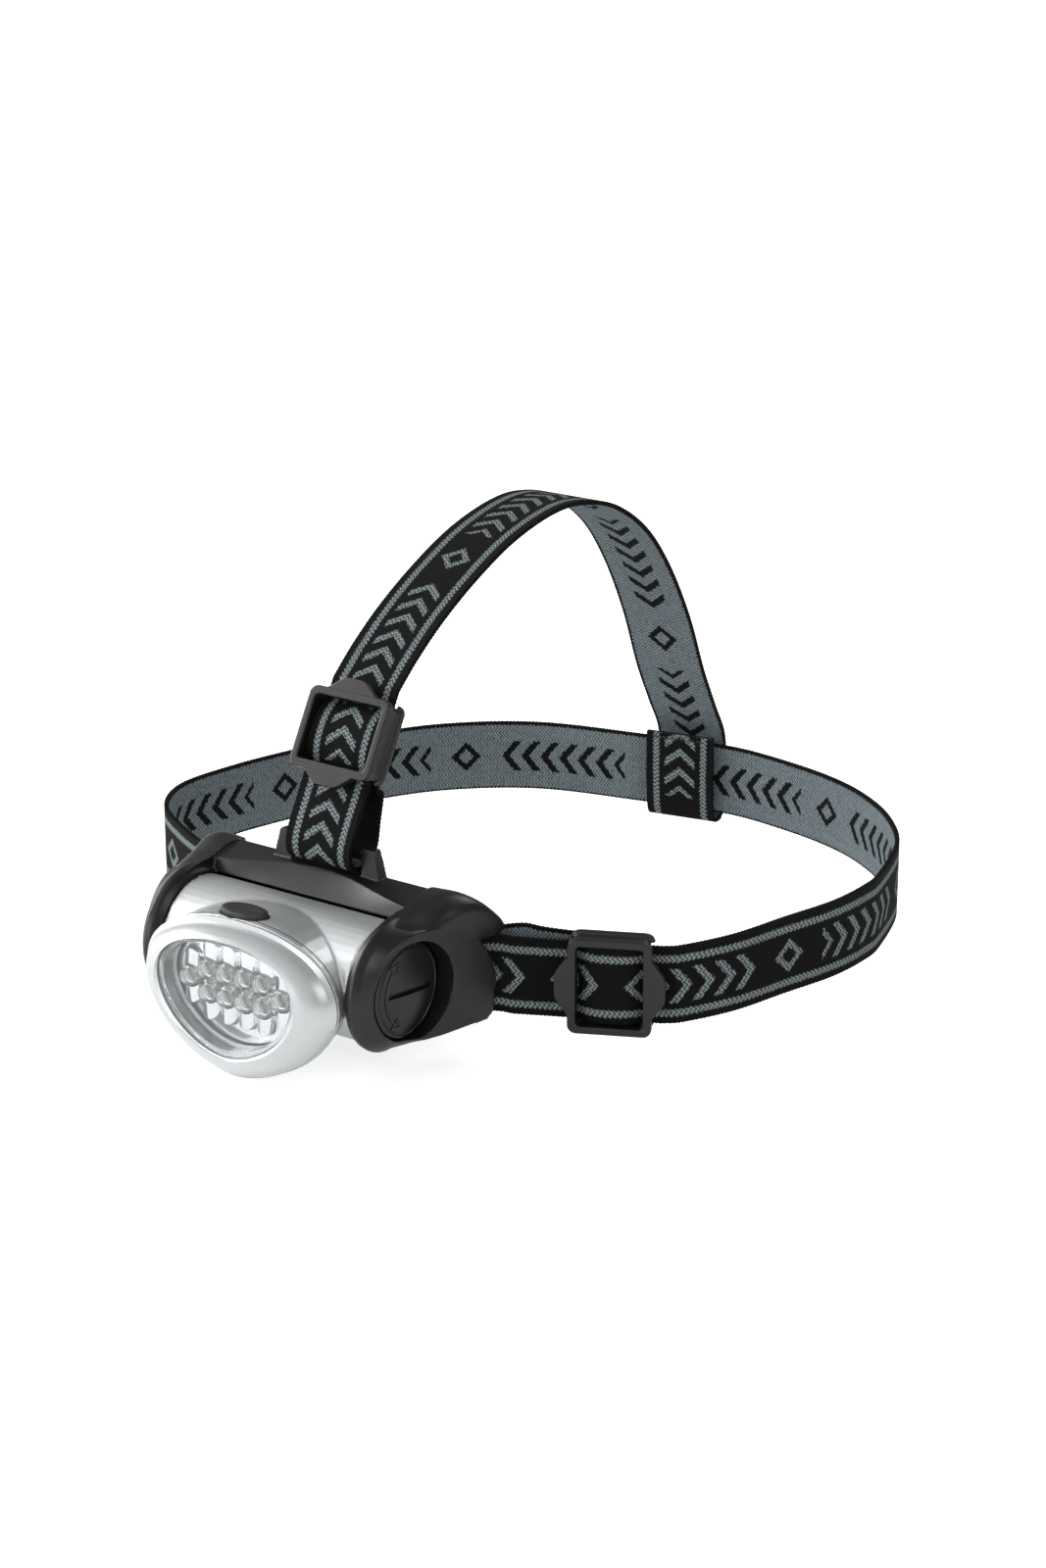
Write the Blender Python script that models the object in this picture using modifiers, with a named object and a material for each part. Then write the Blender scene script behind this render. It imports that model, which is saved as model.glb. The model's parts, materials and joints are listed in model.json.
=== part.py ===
"""Headlamp: a lamp head that tilts between the two ears of a bracket, worn on an elastic
headband with a strap over the top of the head.

Metres, +Z up. The origin is the middle of the forehead pad's back face, where the lamp
rests on its wearer. The lamp faces -Y and the headband reaches back to +Y. The constants
and meshes are in millimetres from the middle of the lamp's tilt axis, which runs along X.
MM turns them into metres, and one empty on that axis carries everything.
"""

import math

import bmesh
import bpy
from mathutils import Matrix, Vector

MM = 0.001
GAP = 0.3  # clearance between neighbouring pieces

# Webbing: 20 mm elastic
STRAP_WIDTH = 20.0
STRAP_THICK = 1.2
STRAP_STEP = 6.0  # spacing of the strap's cross-sections on its curved stretches

# Batteries: three AAA cells side by side in the tube
CELL_RADIUS = 5.25
CELL_LENGTH = 44.5
CELL_CIRCLE = 6.4  # distance of each cell from the tube's axis
CELL_START = -24.0

# Tube of the lamp head
TUBE_RADIUS = 15.0
TUBE_HALF = 28.9
BORE_RADIUS = 12.5
BORE_END = -27.0
PLUG_STEM_RADIUS = 1.9  # the left-hand plug's stem, through the tube's closed end
WIRE_HOLE = (18.0, 1.6)  # x and radius of the hole from the tube to the nose

# Nose of the lamp head: (distance in front, half width, top, bottom) of each section
NOSE = (
    (-1.0, 27.4, 14.6, -14.2),
    (-6.0, 28.0, 15.3, -16.6),
    (-11.0, 28.3, 15.7, -19.6),
    (-15.0, 28.8, 15.9, -22.2),
    (-18.4, 29.9, 15.7, -24.0),
)
NOSE_MIDDLE = -1.5
NOSE_POWERS = (2.2, 1.75)  # roundness of the upper and the lower half
CAVITY_BACK = -14.8
CAVITY_WALL = 2.5

# Bezel, lens, reflector and light-emitting diodes. A bezel section's last number is its
# lean: how far its y grows with its z, so that the face looks slightly up
BEZEL = (
    (-18.8, 29.8, 15.5, -24.0, 0.0),
    (-20.4, 28.8, 14.3, -23.7, 0.08),
    (-22.8, 26.9, 13.7, -22.2, 0.06),
    (-24.7, 24.4, 12.9, -20.2, 0.05),
    (-25.8, 21.9, 12.1, -18.0, 0.04),
)
OPENING_LEAN = 0.04
OPENING = (-25.4, 21.2, 11.8, -17.5)
OPENING_MIDDLE = 0.0
OPENING_POWERS = (2.3, 1.8)
LENS_DOME = ((-26.2, 0.15), (-26.0, 0.45), (-25.5, 0.78), (-24.8, 1.0))  # y, share of its size
LENS_BACK = -20.4
LENS_WALL = 1.2
SEAT_START, SEAT_END, SEAT_DEPTH = -22.6, -19.6, 1.3  # the lens's seat inside the bezel
LENS_SEAL = ((-20.1, 0.2), (-20.1, 1.4), (-19.3, 1.4), (-19.3, 0.2))  # y, inset
REFLECTOR = (  # y, inset: up the front of the flared rim and down its back
    (-17.6, 5.0),
    (-18.4, 4.0),
    (-22.8, 1.9),
    (-22.8, 2.6),
    (-19.0, 4.6),
    (-18.6, 6.0),
)
LED_RADIUS = 2.5
LED_FLANGE = 2.7
LED_PITCH = 5.7
LED_ROW = 3.0
LED_MIDDLE = -1.2
LED_BASE = -16.4
LED_TIP = -23.2
BOARD = (-16.1, -15.1)
BOARD_SIZE = (16.6, 8.6, -10.6)  # half width, top, bottom

# Push button on top of the nose
BUTTON_AT = (-2.2, -14.1, 15.3)
BUTTON_HALF = (6.8, 3.8)
BUTTON_LEVELS = ((-0.3, 0.0), (0.9, 0.0), (1.3, 0.25), (1.6, 0.8), (1.8, 2.0))  # height, inset
BUTTON_POCKET_DEPTH = 1.3
BUTTON_STEM = (1.5, -2.0)  # radius and lower end
SWITCH_HALF = 3.0
SWITCH_BODY = (-5.9, -3.9)  # below the button's seat
SWITCH_POCKET_DEPTH = 6.0
PLUNGER_RADIUS = 1.3
PLUNGER_TOP = -3.0

# Bracket
RING_X = 29.2  # inner face of each ear
RING_RADIUS = 15.6
EAR_PROFILE = (  # x, its lean behind the axis, front radius, share of the whole outline
    (29.2, 0.0, 17.4, 0.89),
    (30.8, 0.1, 17.4, 0.98),
    (32.4, 0.15, 17.4, 1.0),
    (34.0, 0.2, 16.2, 1.0),
)
EAR_BOTTOM = ((4.2, -15.3), (9.0, -14.7))  # y, z between the ring's front and the rear corner
EAR_BOTTOM_FACE = ((3.6, -13.4), (9.0, -13.8))
EAR_CORNER_AT = (22.4, -10.8)
EAR_TOP_AT = (5.5, -6.5)
EAR_FACE = (38.4, 0.198)  # the ear's outer face is the plane x = 38.4 + 0.198 y
SHOULDER = (  # y, then the outline's corners as (x, z)
    (1.0, ((30.3, 12.0), (37.6, 11.0), (37.8, 13.2), (36.6, 15.2), (34.8, 16.6), (30.3, 15.5))),
    (8.0, ((30.3, 11.0), (39.6, 11.0), (40.0, 13.6), (38.8, 16.3), (35.4, 17.8), (30.3, 18.2))),
    (14.0, ((30.3, 9.0), (40.8, 9.0), (41.4, 13.2), (40.5, 17.4), (36.5, 19.4), (30.3, 19.5))),
    (19.0, ((30.0, 7.5), (41.9, 7.5), (42.8, 12.2), (41.8, 17.3), (37.2, 19.4), (30.0, 19.2))),
    (23.0, ((33.0, 7.4), (42.7, 7.4), (43.8, 10.8), (43.2, 15.2), (39.2, 17.0), (33.0, 16.0))),
    (26.5, ((36.0, 7.4), (43.4, 7.4), (44.6, 9.6), (44.3, 12.1), (41.2, 13.4), (36.0, 12.6))),
    (28.2, ((38.0, 7.8), (43.7, 7.8), (44.6, 9.1), (44.3, 10.3), (42.0, 11.1), (38.0, 10.6))),
)
HOLE_RADIUS = 12.57
BAR_TOP = 19.3
BAR_FRONT = (6.7, 13.6)  # y, z of its front edge
BAR_HALF = 32  # half its length, in steps of BAR_STEP
BAR_STEP = 8
CREASE_MIDDLE = (13.3, 19.3)  # y, z of the crease along the bar's top, halfway
CREASE_SWING = (2.95, 1.1)  # how far it swings forward and down towards the ends
CREASE_REACH = 36.0
BACK = 18.2
BACK_FRONT = 11.0
PAD_BACK = 25.5
FLOOR = -13.8
SCREW_X = 24.0
SCREW_HEIGHTS = (-10.6, 14.2)
SCREW_RADIUS = 1.0
SCREW_HEAD_RADIUS = 2.2
PLATE_THICK = 1.7
PLATE_HALF, PLATE_BOTTOM, PLATE_TOP = 28.2, -12.6, 16.8
PAD_HALF = (27.5, 13.6)

# Slots for the headband, and the lug for the top strap
SLOT_MIDDLE = -3.2
SLOT_FRONT, SLOT_END = 19.2, 31.0
SLOT_WALL = 1.8
SLOT_FLOOR = ((31.0, 17.4), (41.6, 20.4), (42.2, 24.6), (36.0, 26.6), (31.0, 21.5))
SLOT_BAR_RADIUS = 1.3
SLOT_BAR_TOP = 8.2
LUG_BASE = ((10.9, 14.4), (16.4, 14.4), (16.4, 17.9), (10.9, 17.9))
LUG_TOP = ((10.9, 15.0), (14.9, 15.0), (14.9, 17.6), (10.9, 17.6))
LUG_HEIGHTS = (18.4, 19.6, 26.2)
CROSSBAR_LOW, CROSSBAR_HIGH = (-13.0, 15.2, 22.9), (13.0, 17.4, 25.2)

# Battery cap
CAP_RADIUS = 12.2
CAP_FACE = 36.0
CAP_DOME = 1.2
CAP_SLOT = (16.0, 1.5, 1.3)
CAP_SLOT_TURN = math.radians(-6.0)
CAP_PLUG_RADIUS = 11.9
CAP_PLUG_START = 23.7
GROOVE = (26.0, 28.0, 1.3)  # start, end and depth of the seal's groove
SEAL_RADIUS = 0.75
CONTACT = (10.5, 22.5, 23.2)  # radius, start, end

# Battery carrier and spring
CARRIER_RADIUS = 11.9
CARRIER_DISC = 1.0
SPINE_RADIUS = 0.85
STRUT_RADIUS = 1.0
STRUT_CIRCLE = 10.6
SPRING_RADII = (4.6, 2.8)
SPRING_TURNS = 2
SPRING_WIRE = 0.2
LEAD_RADIUS = 0.35

# Sliding buckles: length along the strap, width across it, and depth
BUCKLE_HALF_LENGTH = 10.4
BUCKLE_HALF_WIDTH = 12.4
BUCKLE_WINDOW = (8.3, 10.4)
BUCKLE_BACK, BUCKLE_FRONT = -2.5, 5.0
BUCKLE_CORNER = 2.2
BUCKLE_TAB = 3.4
BUCKLE_TAB_OUTLINE = ((-1.0, 9.0), (1.19, 6.9), (3.06, 3.9))  # past the frame's end, half width
BUCKLE_TAB_DEPTH = (2.4, 0.1)  # below the buckle's front
BUCKLE_BAR_HALF = (1.7, 11.0)

# Straight stretch of the headband that the side buckle slides along
SIDE_RUN_START = Vector((46.0, 29.6, -3.7))
SIDE_RUN_ANGLE = math.radians(26.0)
SIDE_RUN_LENGTH = 37.0
SIDE_BUCKLE_AT = 24.5
# Straight stretch of the top strap that the top buckle slides along
TOP_RUN_START = Vector((0.0, 14.2, 31.2))
TOP_RUN_ANGLE = math.radians(60.6)
TOP_RUN_LENGTH = 35.5
TOP_BUCKLE_AT = 21.8
DOUBLED = 3.6  # depth of the inner strap layer below the outer one, at the buckles
DOUBLED_PAST = 9.0  # how far the sewn end reaches past the buckle's middle
SIDE_DOUBLED_START = 11.0
SIDE_DOUBLED_RISE = 1.6
TOP_DOUBLED_START = 12.0

# Headband beyond the side buckle, to the left-hand slot: x, y, z of its middle line
HEADBAND_LOOP = (
    (83.5, 48.6, -3.2),
    (91.5, 59.0, -1.8),
    (97.2, 73.3, -0.6),
    (102.2, 87.4, 0.2),
    (103.4, 100.6, 0.4),
    (102.0, 111.0, 0.4),
    (94.4, 133.0, 0.4),
    (82.5, 149.0, 0.4),
    (69.0, 160.0, 0.4),
    (55.0, 167.0, 0.4),
    (37.5, 171.6, 0.4),
    (17.0, 173.6, 0.4),
    (-9.6, 168.4, 0.4),
    (-39.2, 160.0, 0.4),
    (-60.6, 142.4, 0.4),
    (-74.0, 119.0, 0.4),
    (-81.0, 98.0, 0.4),
    (-86.0, 79.0, 0.2),
    (-88.8, 62.0, -0.6),
    (-84.0, 50.0, -2.0),
    (-72.0, 42.0, -3.0),
    (-58.0, 35.6, -3.7),
    (-46.6, 30.2, -3.7),
)
# Strap round a slot's bar on the right; the left side mirrors it
SLOT_OUTER = ((43.3, 28.3), (40.9, 26.9), (39.6, 24.9), (39.0, 22.6))
SLOT_WRAP = ((37.6, 20.8), (35.6, 20.9))
SLOT_INNER = ((34.5, 22.8), (35.3, 26.2), (40.2, 30.4), (46.5, 33.8), (53.0, 36.9))
SLOT_BAR_AT = (37.0, 23.7)
# Top strap beyond the top buckle: x, y, z, and the twist of its width towards the headband
TOP_LOOP = (
    (0.0, 39.4, 68.6, 0.0),
    (0.0, 50.0, 75.8, 0.0),
    (0.0, 64.0, 83.2, 0.0),
    (0.0, 80.0, 89.6, 0.0),
    (0.0, 97.0, 93.2, 0.0),
    (0.4, 110.0, 93.2, 0.0),
    (1.2, 124.0, 89.4, 1.0),
    (2.2, 137.0, 80.6, 3.0),
    (3.0, 147.0, 68.0, 6.0),
    (3.6, 156.0, 51.5, 9.0),
    (4.2, 162.6, 34.5, 11.0),
    (4.5, 168.6, 22.4, 11.0),
    (4.5, 173.8, 12.5, 11.0),
    (4.5, 174.6, 0.4, 11.0),
    (4.5, 173.6, -10.0, 11.0),
    (4.5, 171.2, -11.9, 11.0),
    (4.5, 168.8, -10.0, 11.0),
    (4.5, 168.0, 0.4, 11.0),
    (4.5, 168.0, 13.0, 11.0),
)
# Loop of the top strap under the lug's crossbar: y and z of its middle line
LUG_LOOP = ((12.4, 27.6), (11.7, 24.4), (12.9, 21.4), (16.2, 20.4), (20.0, 21.2))
LUG_LOOP_BACK = ((22.2, 25.0), (23.4, 30.6), (24.8, 37.4))

COLOURS = {
    "black_plastic": ((0.033, 0.033, 0.030), 0.42, 0.0, 1.0),
    "silver_paint": ((0.62, 0.63, 0.65), 0.30, 0.85, 1.0),
    "chrome": ((0.88, 0.88, 0.90), 0.08, 1.0, 1.0),
    "clear_plastic": ((0.95, 0.96, 0.97), 0.04, 0.0, 0.25),
    "led_resin": ((0.92, 0.92, 0.86), 0.06, 0.0, 0.45),
    "rubber": ((0.022, 0.022, 0.022), 0.62, 0.0, 1.0),
    "webbing": ((0.020, 0.021, 0.024), 0.85, 0.0, 1.0),
    "foam": ((0.030, 0.030, 0.032), 0.92, 0.0, 1.0),
    "circuit_board": ((0.02, 0.16, 0.07), 0.45, 0.0, 1.0),
    "steel": ((0.56, 0.56, 0.57), 0.25, 1.0, 1.0),
    "brass": ((0.70, 0.52, 0.22), 0.25, 1.0, 1.0),
    "cell_sleeve": ((0.12, 0.18, 0.30), 0.35, 0.1, 1.0),
    "carrier_plastic": ((0.05, 0.05, 0.055), 0.5, 0.0, 1.0),
    "red_wire": ((0.45, 0.02, 0.02), 0.45, 0.0, 1.0),
    "black_wire": ((0.02, 0.02, 0.02), 0.45, 0.0, 1.0),
}


def clear_scene():
    for obj in list(bpy.data.objects):
        bpy.data.objects.remove(obj, do_unlink=True)


def make_material(name):
    colour, roughness, metallic, alpha = COLOURS[name]
    look = bpy.data.materials.new(name)
    look.use_nodes = True
    shader = look.node_tree.nodes["Principled BSDF"]
    shader.inputs["Base Color"].default_value = (*colour, 1.0)
    shader.inputs["Roughness"].default_value = roughness
    shader.inputs["Metallic"].default_value = metallic
    shader.inputs["Alpha"].default_value = alpha
    return look


def make_collection(name):
    group = bpy.data.collections.new(name)
    bpy.context.scene.collection.children.link(group)
    return group


clear_scene()
MATERIALS = {name: make_material(name) for name in COLOURS}
HEADLAMP = make_collection("headlamp")
CUTTERS = make_collection("cutters")


def make_pivot(name, at=(0.0, 0.0, 0.0), turn=None, parent=None):
    """An empty on a joint's axis, which carries the pieces of one moving body."""
    empty = bpy.data.objects.new(name, None)
    empty.empty_display_size = 5 * MM
    HEADLAMP.objects.link(empty)
    empty.parent = parent
    empty.location = Vector(at) * MM
    if turn:
        empty.rotation_euler = turn.to_euler()
    return empty


def plane_turn(along, outward):
    """The rotation whose x axis is along and whose z axis is outward."""
    x = Vector(along).normalized()
    z = Vector(outward).normalized()
    return Matrix((x, z.cross(x), z)).transposed()


SIDE_ALONG = Vector((math.cos(SIDE_RUN_ANGLE), math.sin(SIDE_RUN_ANGLE), 0.0))
SIDE_OUTWARD = Vector((math.sin(SIDE_RUN_ANGLE), -math.cos(SIDE_RUN_ANGLE), 0.0))
TOP_ALONG = Vector((0.0, math.cos(TOP_RUN_ANGLE), math.sin(TOP_RUN_ANGLE)))
TOP_OUTWARD = Vector((0.0, -math.sin(TOP_RUN_ANGLE), math.cos(TOP_RUN_ANGLE)))

FRAME = make_pivot("bracket_middle", (0.0, -PAD_BACK, 0.0))
HEAD = make_pivot("head_tilt_axis", parent=FRAME)
BUTTON = make_pivot("button_press_axis", BUTTON_AT, parent=FRAME)
CAP = make_pivot("cap_axis", (CAP_FACE, 0.0, 0.0), parent=FRAME)
SIDE_BUCKLE = make_pivot(
    "side_buckle_axis",
    SIDE_RUN_START + SIDE_ALONG * SIDE_BUCKLE_AT,
    plane_turn(SIDE_ALONG, SIDE_OUTWARD),
    FRAME,
)
TOP_BUCKLE = make_pivot(
    "top_buckle_axis",
    TOP_RUN_START + TOP_ALONG * TOP_BUCKLE_AT,
    plane_turn(TOP_ALONG, TOP_OUTWARD),
    FRAME,
)


# Shared ways of making a piece


def object_from(name, bm, collection=HEADLAMP):
    bmesh.ops.recalc_face_normals(bm, faces=bm.faces)
    mesh = bpy.data.meshes.new(name)
    bm.to_mesh(mesh)
    bm.free()
    mesh.transform(Matrix.Scale(MM, 4))
    obj = bpy.data.objects.new(name, mesh)
    collection.objects.link(obj)
    return obj


def finish(obj, look, parent=FRAME, at=(0.0, 0.0, 0.0), keep_local=False):
    """Gives the object its material and hangs it on its body's pivot. A mesh is measured
    from the tilt axis unless keep_local says that it is in its pivot's own axes."""
    obj.data.materials.clear()
    obj.data.materials.append(MATERIALS[look])
    obj.parent = parent
    if not (keep_local or parent is FRAME):
        obj.location = -parent.location
    obj.location += Vector(at) * MM
    for step in obj.modifiers:
        if step.type == "BOOLEAN":
            step.object.parent = parent
            step.object.location = obj.location
    if obj.type == "MESH":
        obj.data.shade_smooth()
        obj.data.set_sharp_from_angle(angle=math.radians(35))
    return obj


def as_cutter(obj):
    obj.hide_render = True
    obj.display_type = "WIRE"
    for group in obj.users_collection:
        group.objects.unlink(obj)
    CUTTERS.objects.link(obj)
    return obj


def boolean(obj, other, operation):
    step = obj.modifiers.new(f"{operation.lower()} {other.name}", "BOOLEAN")
    step.operation = operation
    step.object = as_cutter(other)


def cut(obj, *others):
    for other in others:
        boolean(obj, other, "DIFFERENCE")


def join(obj, *others):
    for other in others:
        boolean(obj, other, "UNION")


def bevel(obj, width, segments=2, angle=40):
    step = obj.modifiers.new("rounded edges", "BEVEL")
    step.width = width * MM
    step.segments = segments
    step.limit_method = "ANGLE"
    step.angle_limit = math.radians(angle)


def box(name, low, high):
    bm = bmesh.new()
    bmesh.ops.create_cube(bm, size=1.0)
    low, high = Vector(low), Vector(high)
    bmesh.ops.scale(bm, vec=high - low, verts=bm.verts)
    bmesh.ops.translate(bm, vec=(low + high) / 2, verts=bm.verts)
    return object_from(name, bm)


def rod(name, radius, start, end, segments=32, axis="X", at=(0.0, 0.0)):
    """A cylinder along an axis from start to end; at is its place across it."""
    bm = bmesh.new()
    bmesh.ops.create_cone(
        bm,
        cap_ends=True,
        segments=segments,
        radius1=radius,
        radius2=radius,
        depth=end - start,
    )
    middle = (start + end) / 2
    if axis == "X":
        turn = Matrix.Rotation(math.radians(90), 4, "Y")
        place = (middle, at[0], at[1])
    elif axis == "Y":
        turn = Matrix.Rotation(math.radians(-90), 4, "X")
        place = (at[0], middle, at[1])
    else:
        turn = Matrix.Identity(4)
        place = (at[0], at[1], middle)
    bmesh.ops.transform(bm, matrix=Matrix.Translation(place) @ turn, verts=bm.verts)
    return object_from(name, bm)


def turned(name, profile, steps=24):
    """A profile of (radius, height) from the top down, turned about Z."""
    bm = bmesh.new()
    verts = [bm.verts.new((radius, 0.0, height)) for radius, height in profile]
    for first, second in zip(verts, verts[1:]):
        bm.edges.new((first, second))
    obj = object_from(name, bm)
    step = obj.modifiers.new("turned", "SCREW")
    step.steps = step.render_steps = steps
    step.use_merge_vertices = True
    step.merge_threshold = 0.00001
    return obj


def loft(name, rings, wrap=False):
    """A skin over rings of equally many points: closed with end caps, or into a loop."""
    bm = bmesh.new()
    rows = [[bm.verts.new(point) for point in ring] for ring in rings]
    pairs = list(zip(rows, rows[1:]))
    if wrap:
        pairs.append((rows[-1], rows[0]))
    for lower, upper in pairs:
        for i in range(len(lower)):
            j = (i + 1) % len(lower)
            bm.faces.new((lower[i], lower[j], upper[j], upper[i]))
    bmesh.ops.triangulate(bm, faces=bm.faces)
    if not wrap:
        bm.faces.new(rows[0][::-1])
        bm.faces.new(rows[-1])
    return object_from(name, bm)


def prism(name, outline, start, end, axis="Z"):
    """An outline raised along an axis. It is given across the axis, in x, y, z order."""
    order = {
        "X": lambda a, b, along: (along, a, b),
        "Y": lambda a, b, along: (a, along, b),
        "Z": lambda a, b, along: (a, b, along),
    }[axis]
    return loft(name, [[order(a, b, along) for a, b in outline] for along in (start, end)])


def wire(name, points, radius):
    """A round wire through the points, as a poly curve with filled caps."""
    curve = bpy.data.curves.new(name, "CURVE")
    curve.dimensions = "3D"
    curve.bevel_depth = radius * MM
    curve.bevel_resolution = 2
    curve.use_fill_caps = True
    spline = curve.splines.new("POLY")
    spline.points.add(len(points) - 1)
    for target, point in zip(spline.points, points):
        target.co = (*(Vector(point) * MM), 1.0)
    obj = bpy.data.objects.new(name, curve)
    HEADLAMP.objects.link(obj)
    return obj


def arc(middle, radius, start, end, count):
    """Points on a circle, from the start angle to the end angle in degrees."""
    step = (end - start) / (count - 1)
    return [on_circle(radius, start + step * i, middle) for i in range(count)]


def on_circle(radius, degrees, middle=(0.0, 0.0)):
    angle = math.radians(degrees)
    return middle[0] + radius * math.cos(angle), middle[1] + radius * math.sin(angle)


def smooth_path(points, step):
    """A Catmull-Rom curve through the points, each given as a list of numbers."""
    points = [Vector(point) for point in points]
    ends = [points[0] * 2 - points[1], *points, points[-1] * 2 - points[-2]]
    path = []
    for before, start, end, after in zip(ends, ends[1:], ends[2:], ends[3:]):
        count = max(1, math.ceil((end - start).length / step))
        for i in range(count):
            t = i / count
            path.append(
                0.5
                * (
                    2 * start
                    + (end - before) * t
                    + (2 * before - 5 * start + 4 * end - after) * t**2
                    + (3 * start - before - 3 * end + after) * t**3
                )
            )
    return [*path, points[-1]]


def webbing(name, middle_line, across):
    """A flat strap: an open sheet along a line, thickened with Solidify."""
    bm = bmesh.new()
    rows = [
        [bm.verts.new(point + side * STRAP_WIDTH / 2 * way) for side in (-1, 0, 1)]
        for point, way in zip(middle_line, across)
    ]
    for first, second in zip(rows, rows[1:]):
        for i in range(2):
            bm.faces.new((first[i], first[i + 1], second[i + 1], second[i]))
    obj = object_from(name, bm)
    step = obj.modifiers.new("thickness", "SOLIDIFY")
    step.thickness = STRAP_THICK * MM
    step.offset = 0.0
    step.use_even_offset = True
    return obj


# Outlines


def eye(half_width, top, bottom, middle, powers, count=40):
    """An eye-shaped outline: half a superellipse above the middle height, half below."""
    points = []
    for i in range(count):
        angle = 2 * math.pi * i / count
        c, s = math.cos(angle), math.sin(angle)
        power = powers[0] if s >= 0 else powers[1]
        reach = top - middle if s >= 0 else middle - bottom
        x = half_width * math.copysign(abs(c) ** (2 / power), c)
        z = middle + reach * math.copysign(abs(s) ** (2 / power), s)
        points.append((x, z))
    return points


def nose_ring(section, inset=0.0, y=None):
    front, half_width, top, bottom, *leans = section
    front = front if y is None else y
    lean = sum(leans)
    outline = eye(half_width - inset, top - inset, bottom + inset, NOSE_MIDDLE, NOSE_POWERS)
    return [(x, front + lean * z, z) for x, z in outline]


def opening_ring(y, inset=0.0, scale=1.0):
    """The lens opening's outline at y, drawn in by inset, or scaled about its middle."""
    _, half_width, top, bottom = OPENING
    outline = eye(
        (half_width - inset) * scale,
        (top - inset) * scale,
        (bottom + inset) * scale,
        OPENING_MIDDLE,
        OPENING_POWERS,
    )
    return [(x, y + OPENING_LEAN * z, z) for x, z in outline]


def oval(half_x, half_y, count=32):
    circle = [on_circle(1.0, 360 * i / count) for i in range(count)]
    return [(half_x * a, half_y * b) for a, b in circle]


def face_x(y):
    return EAR_FACE[0] + EAR_FACE[1] * y


# Bracket


def crease(x):
    """Where the top bar's front strip meets its top: y and z at a place along the bar."""
    swing = 1 - math.cos(math.pi * x / CREASE_REACH)
    return [middle - reach * swing for middle, reach in zip(CREASE_MIDDLE, CREASE_SWING)]


def bar_section(x):
    """The top bar and back wall, cut across at x. Its front is cut away by the tube."""
    return [
        (x, *BAR_FRONT),
        (x, *crease(x)),
        (x, BACK - 0.9, BAR_TOP),
        (x, BACK, BAR_TOP - 0.9),
        (x, BACK, FLOOR + 1.0),
        (x, BACK - 1.0, FLOOR),
        (x, BACK_FRONT, FLOOR),
    ]


def ear_outline(front, top_front, bottom, corner, top):
    """The ear seen from the side, as (y, z): the ring's front, then the part behind it.
    The front's radius grows to top_front where it meets the top, and shrinks below."""
    points = []
    for degrees in range(72, 263, 10):
        share = max(0.0, (150 - degrees) / (150 - 72))
        low = max(0.0, (degrees - 190) / (262 - 190))
        radius = front + (top_front - front) * share - 1.8 * low**2
        points.append(on_circle(radius, degrees))
    points += bottom
    points += arc(EAR_CORNER_AT, corner, 275, 345, 4)
    points += arc(EAR_TOP_AT, top, 8, 80, 9)
    return points


def ear(side):
    """Outlines from the ring's inner edge, over its rounded front, to the flat side face."""
    rings = []
    for x, lean, front, rear in EAR_PROFILE:
        outline = ear_outline(front, front, EAR_BOTTOM, 3.6, 21.4)
        rings.append(
            [(side * (x + lean * max(y, 0.0)), y * rear, z * rear) for y, z in outline]
        )
    face = ear_outline(13.3, 15.2, EAR_BOTTOM_FACE, 3.0, 20.8)
    rings.append([(side * face_x(y), y, z) for y, z in face])
    return loft("ear", rings)


def shoulder(side):
    """The rounded shoulder from the top bar's end, over the ear, to above the slot."""
    rings = [[(side * x, y, z) for x, z in outline] for y, outline in SHOULDER]
    return loft("shoulder", rings)


def slot_pocket(side):
    """The space for the strap behind the ear's outer wall."""
    outline = [
        (33.6, SLOT_FRONT),
        (face_x(SLOT_FRONT) - SLOT_WALL, SLOT_FRONT),
        (face_x(SLOT_END) - SLOT_WALL, SLOT_END),
        (29.0, SLOT_END),
    ]
    reach = STRAP_WIDTH / 2 + 0.5
    outline = [(side * x, y) for x, y in outline]
    return prism("slot pocket", outline, SLOT_MIDDLE - reach, SLOT_MIDDLE + reach)


def slot_floor(side):
    outline = [(side * x, y) for x, y in SLOT_FLOOR]
    return prism("slot floor", outline, FLOOR - 0.8, FLOOR + 0.15)


def slot_bar(side):
    """The upright that the headband loops round inside the ear."""
    x, y = SLOT_BAR_AT
    place = (side * x, y)
    return rod("slot bar", SLOT_BAR_RADIUS, FLOOR - 0.4, SLOT_BAR_TOP, 12, "Z", place)


def tube_space():
    """The room for the lamp's tube between the ears, and the holes through them."""
    steps = (
        (-60.0, HOLE_RADIUS),
        (-RING_X, HOLE_RADIUS),
        (-RING_X, RING_RADIUS),
        (RING_X, RING_RADIUS),
        (RING_X, HOLE_RADIUS),
        (60.0, HOLE_RADIUS),
    )
    rings = []
    for x, radius in steps:
        rings.append([(x, *on_circle(radius, 7.5 * i + 2.0)) for i in range(48)])
    return loft("tube space", rings)


def lug_post(side):
    levels = zip((LUG_BASE, LUG_BASE, LUG_TOP), LUG_HEIGHTS)
    return loft("lug post", [[(side * x, y, z) for x, y in plan] for plan, z in levels])


def screw_places():
    return [(x, z) for x in (-SCREW_X, SCREW_X) for z in SCREW_HEIGHTS]


def bracket():
    places = range(-BAR_HALF, BAR_HALF + 1, BAR_STEP)
    frame = loft("bracket_frame", [bar_section(x) for x in places])
    for side in (1, -1):
        join(frame, ear(side), shoulder(side))
    cut(frame, tube_space())
    for side in (1, -1):
        cut(frame, slot_pocket(side))
        join(frame, slot_floor(side), slot_bar(side), lug_post(side))
    join(frame, box("lug crossbar", CROSSBAR_LOW, CROSSBAR_HIGH))
    hole = SCREW_RADIUS + 0.2
    for place in screw_places():
        cut(frame, rod("screw hole", hole, BACK - 6.5, BACK + 5, 12, "Y", place))
    finish(frame, "black_plastic")


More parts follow.
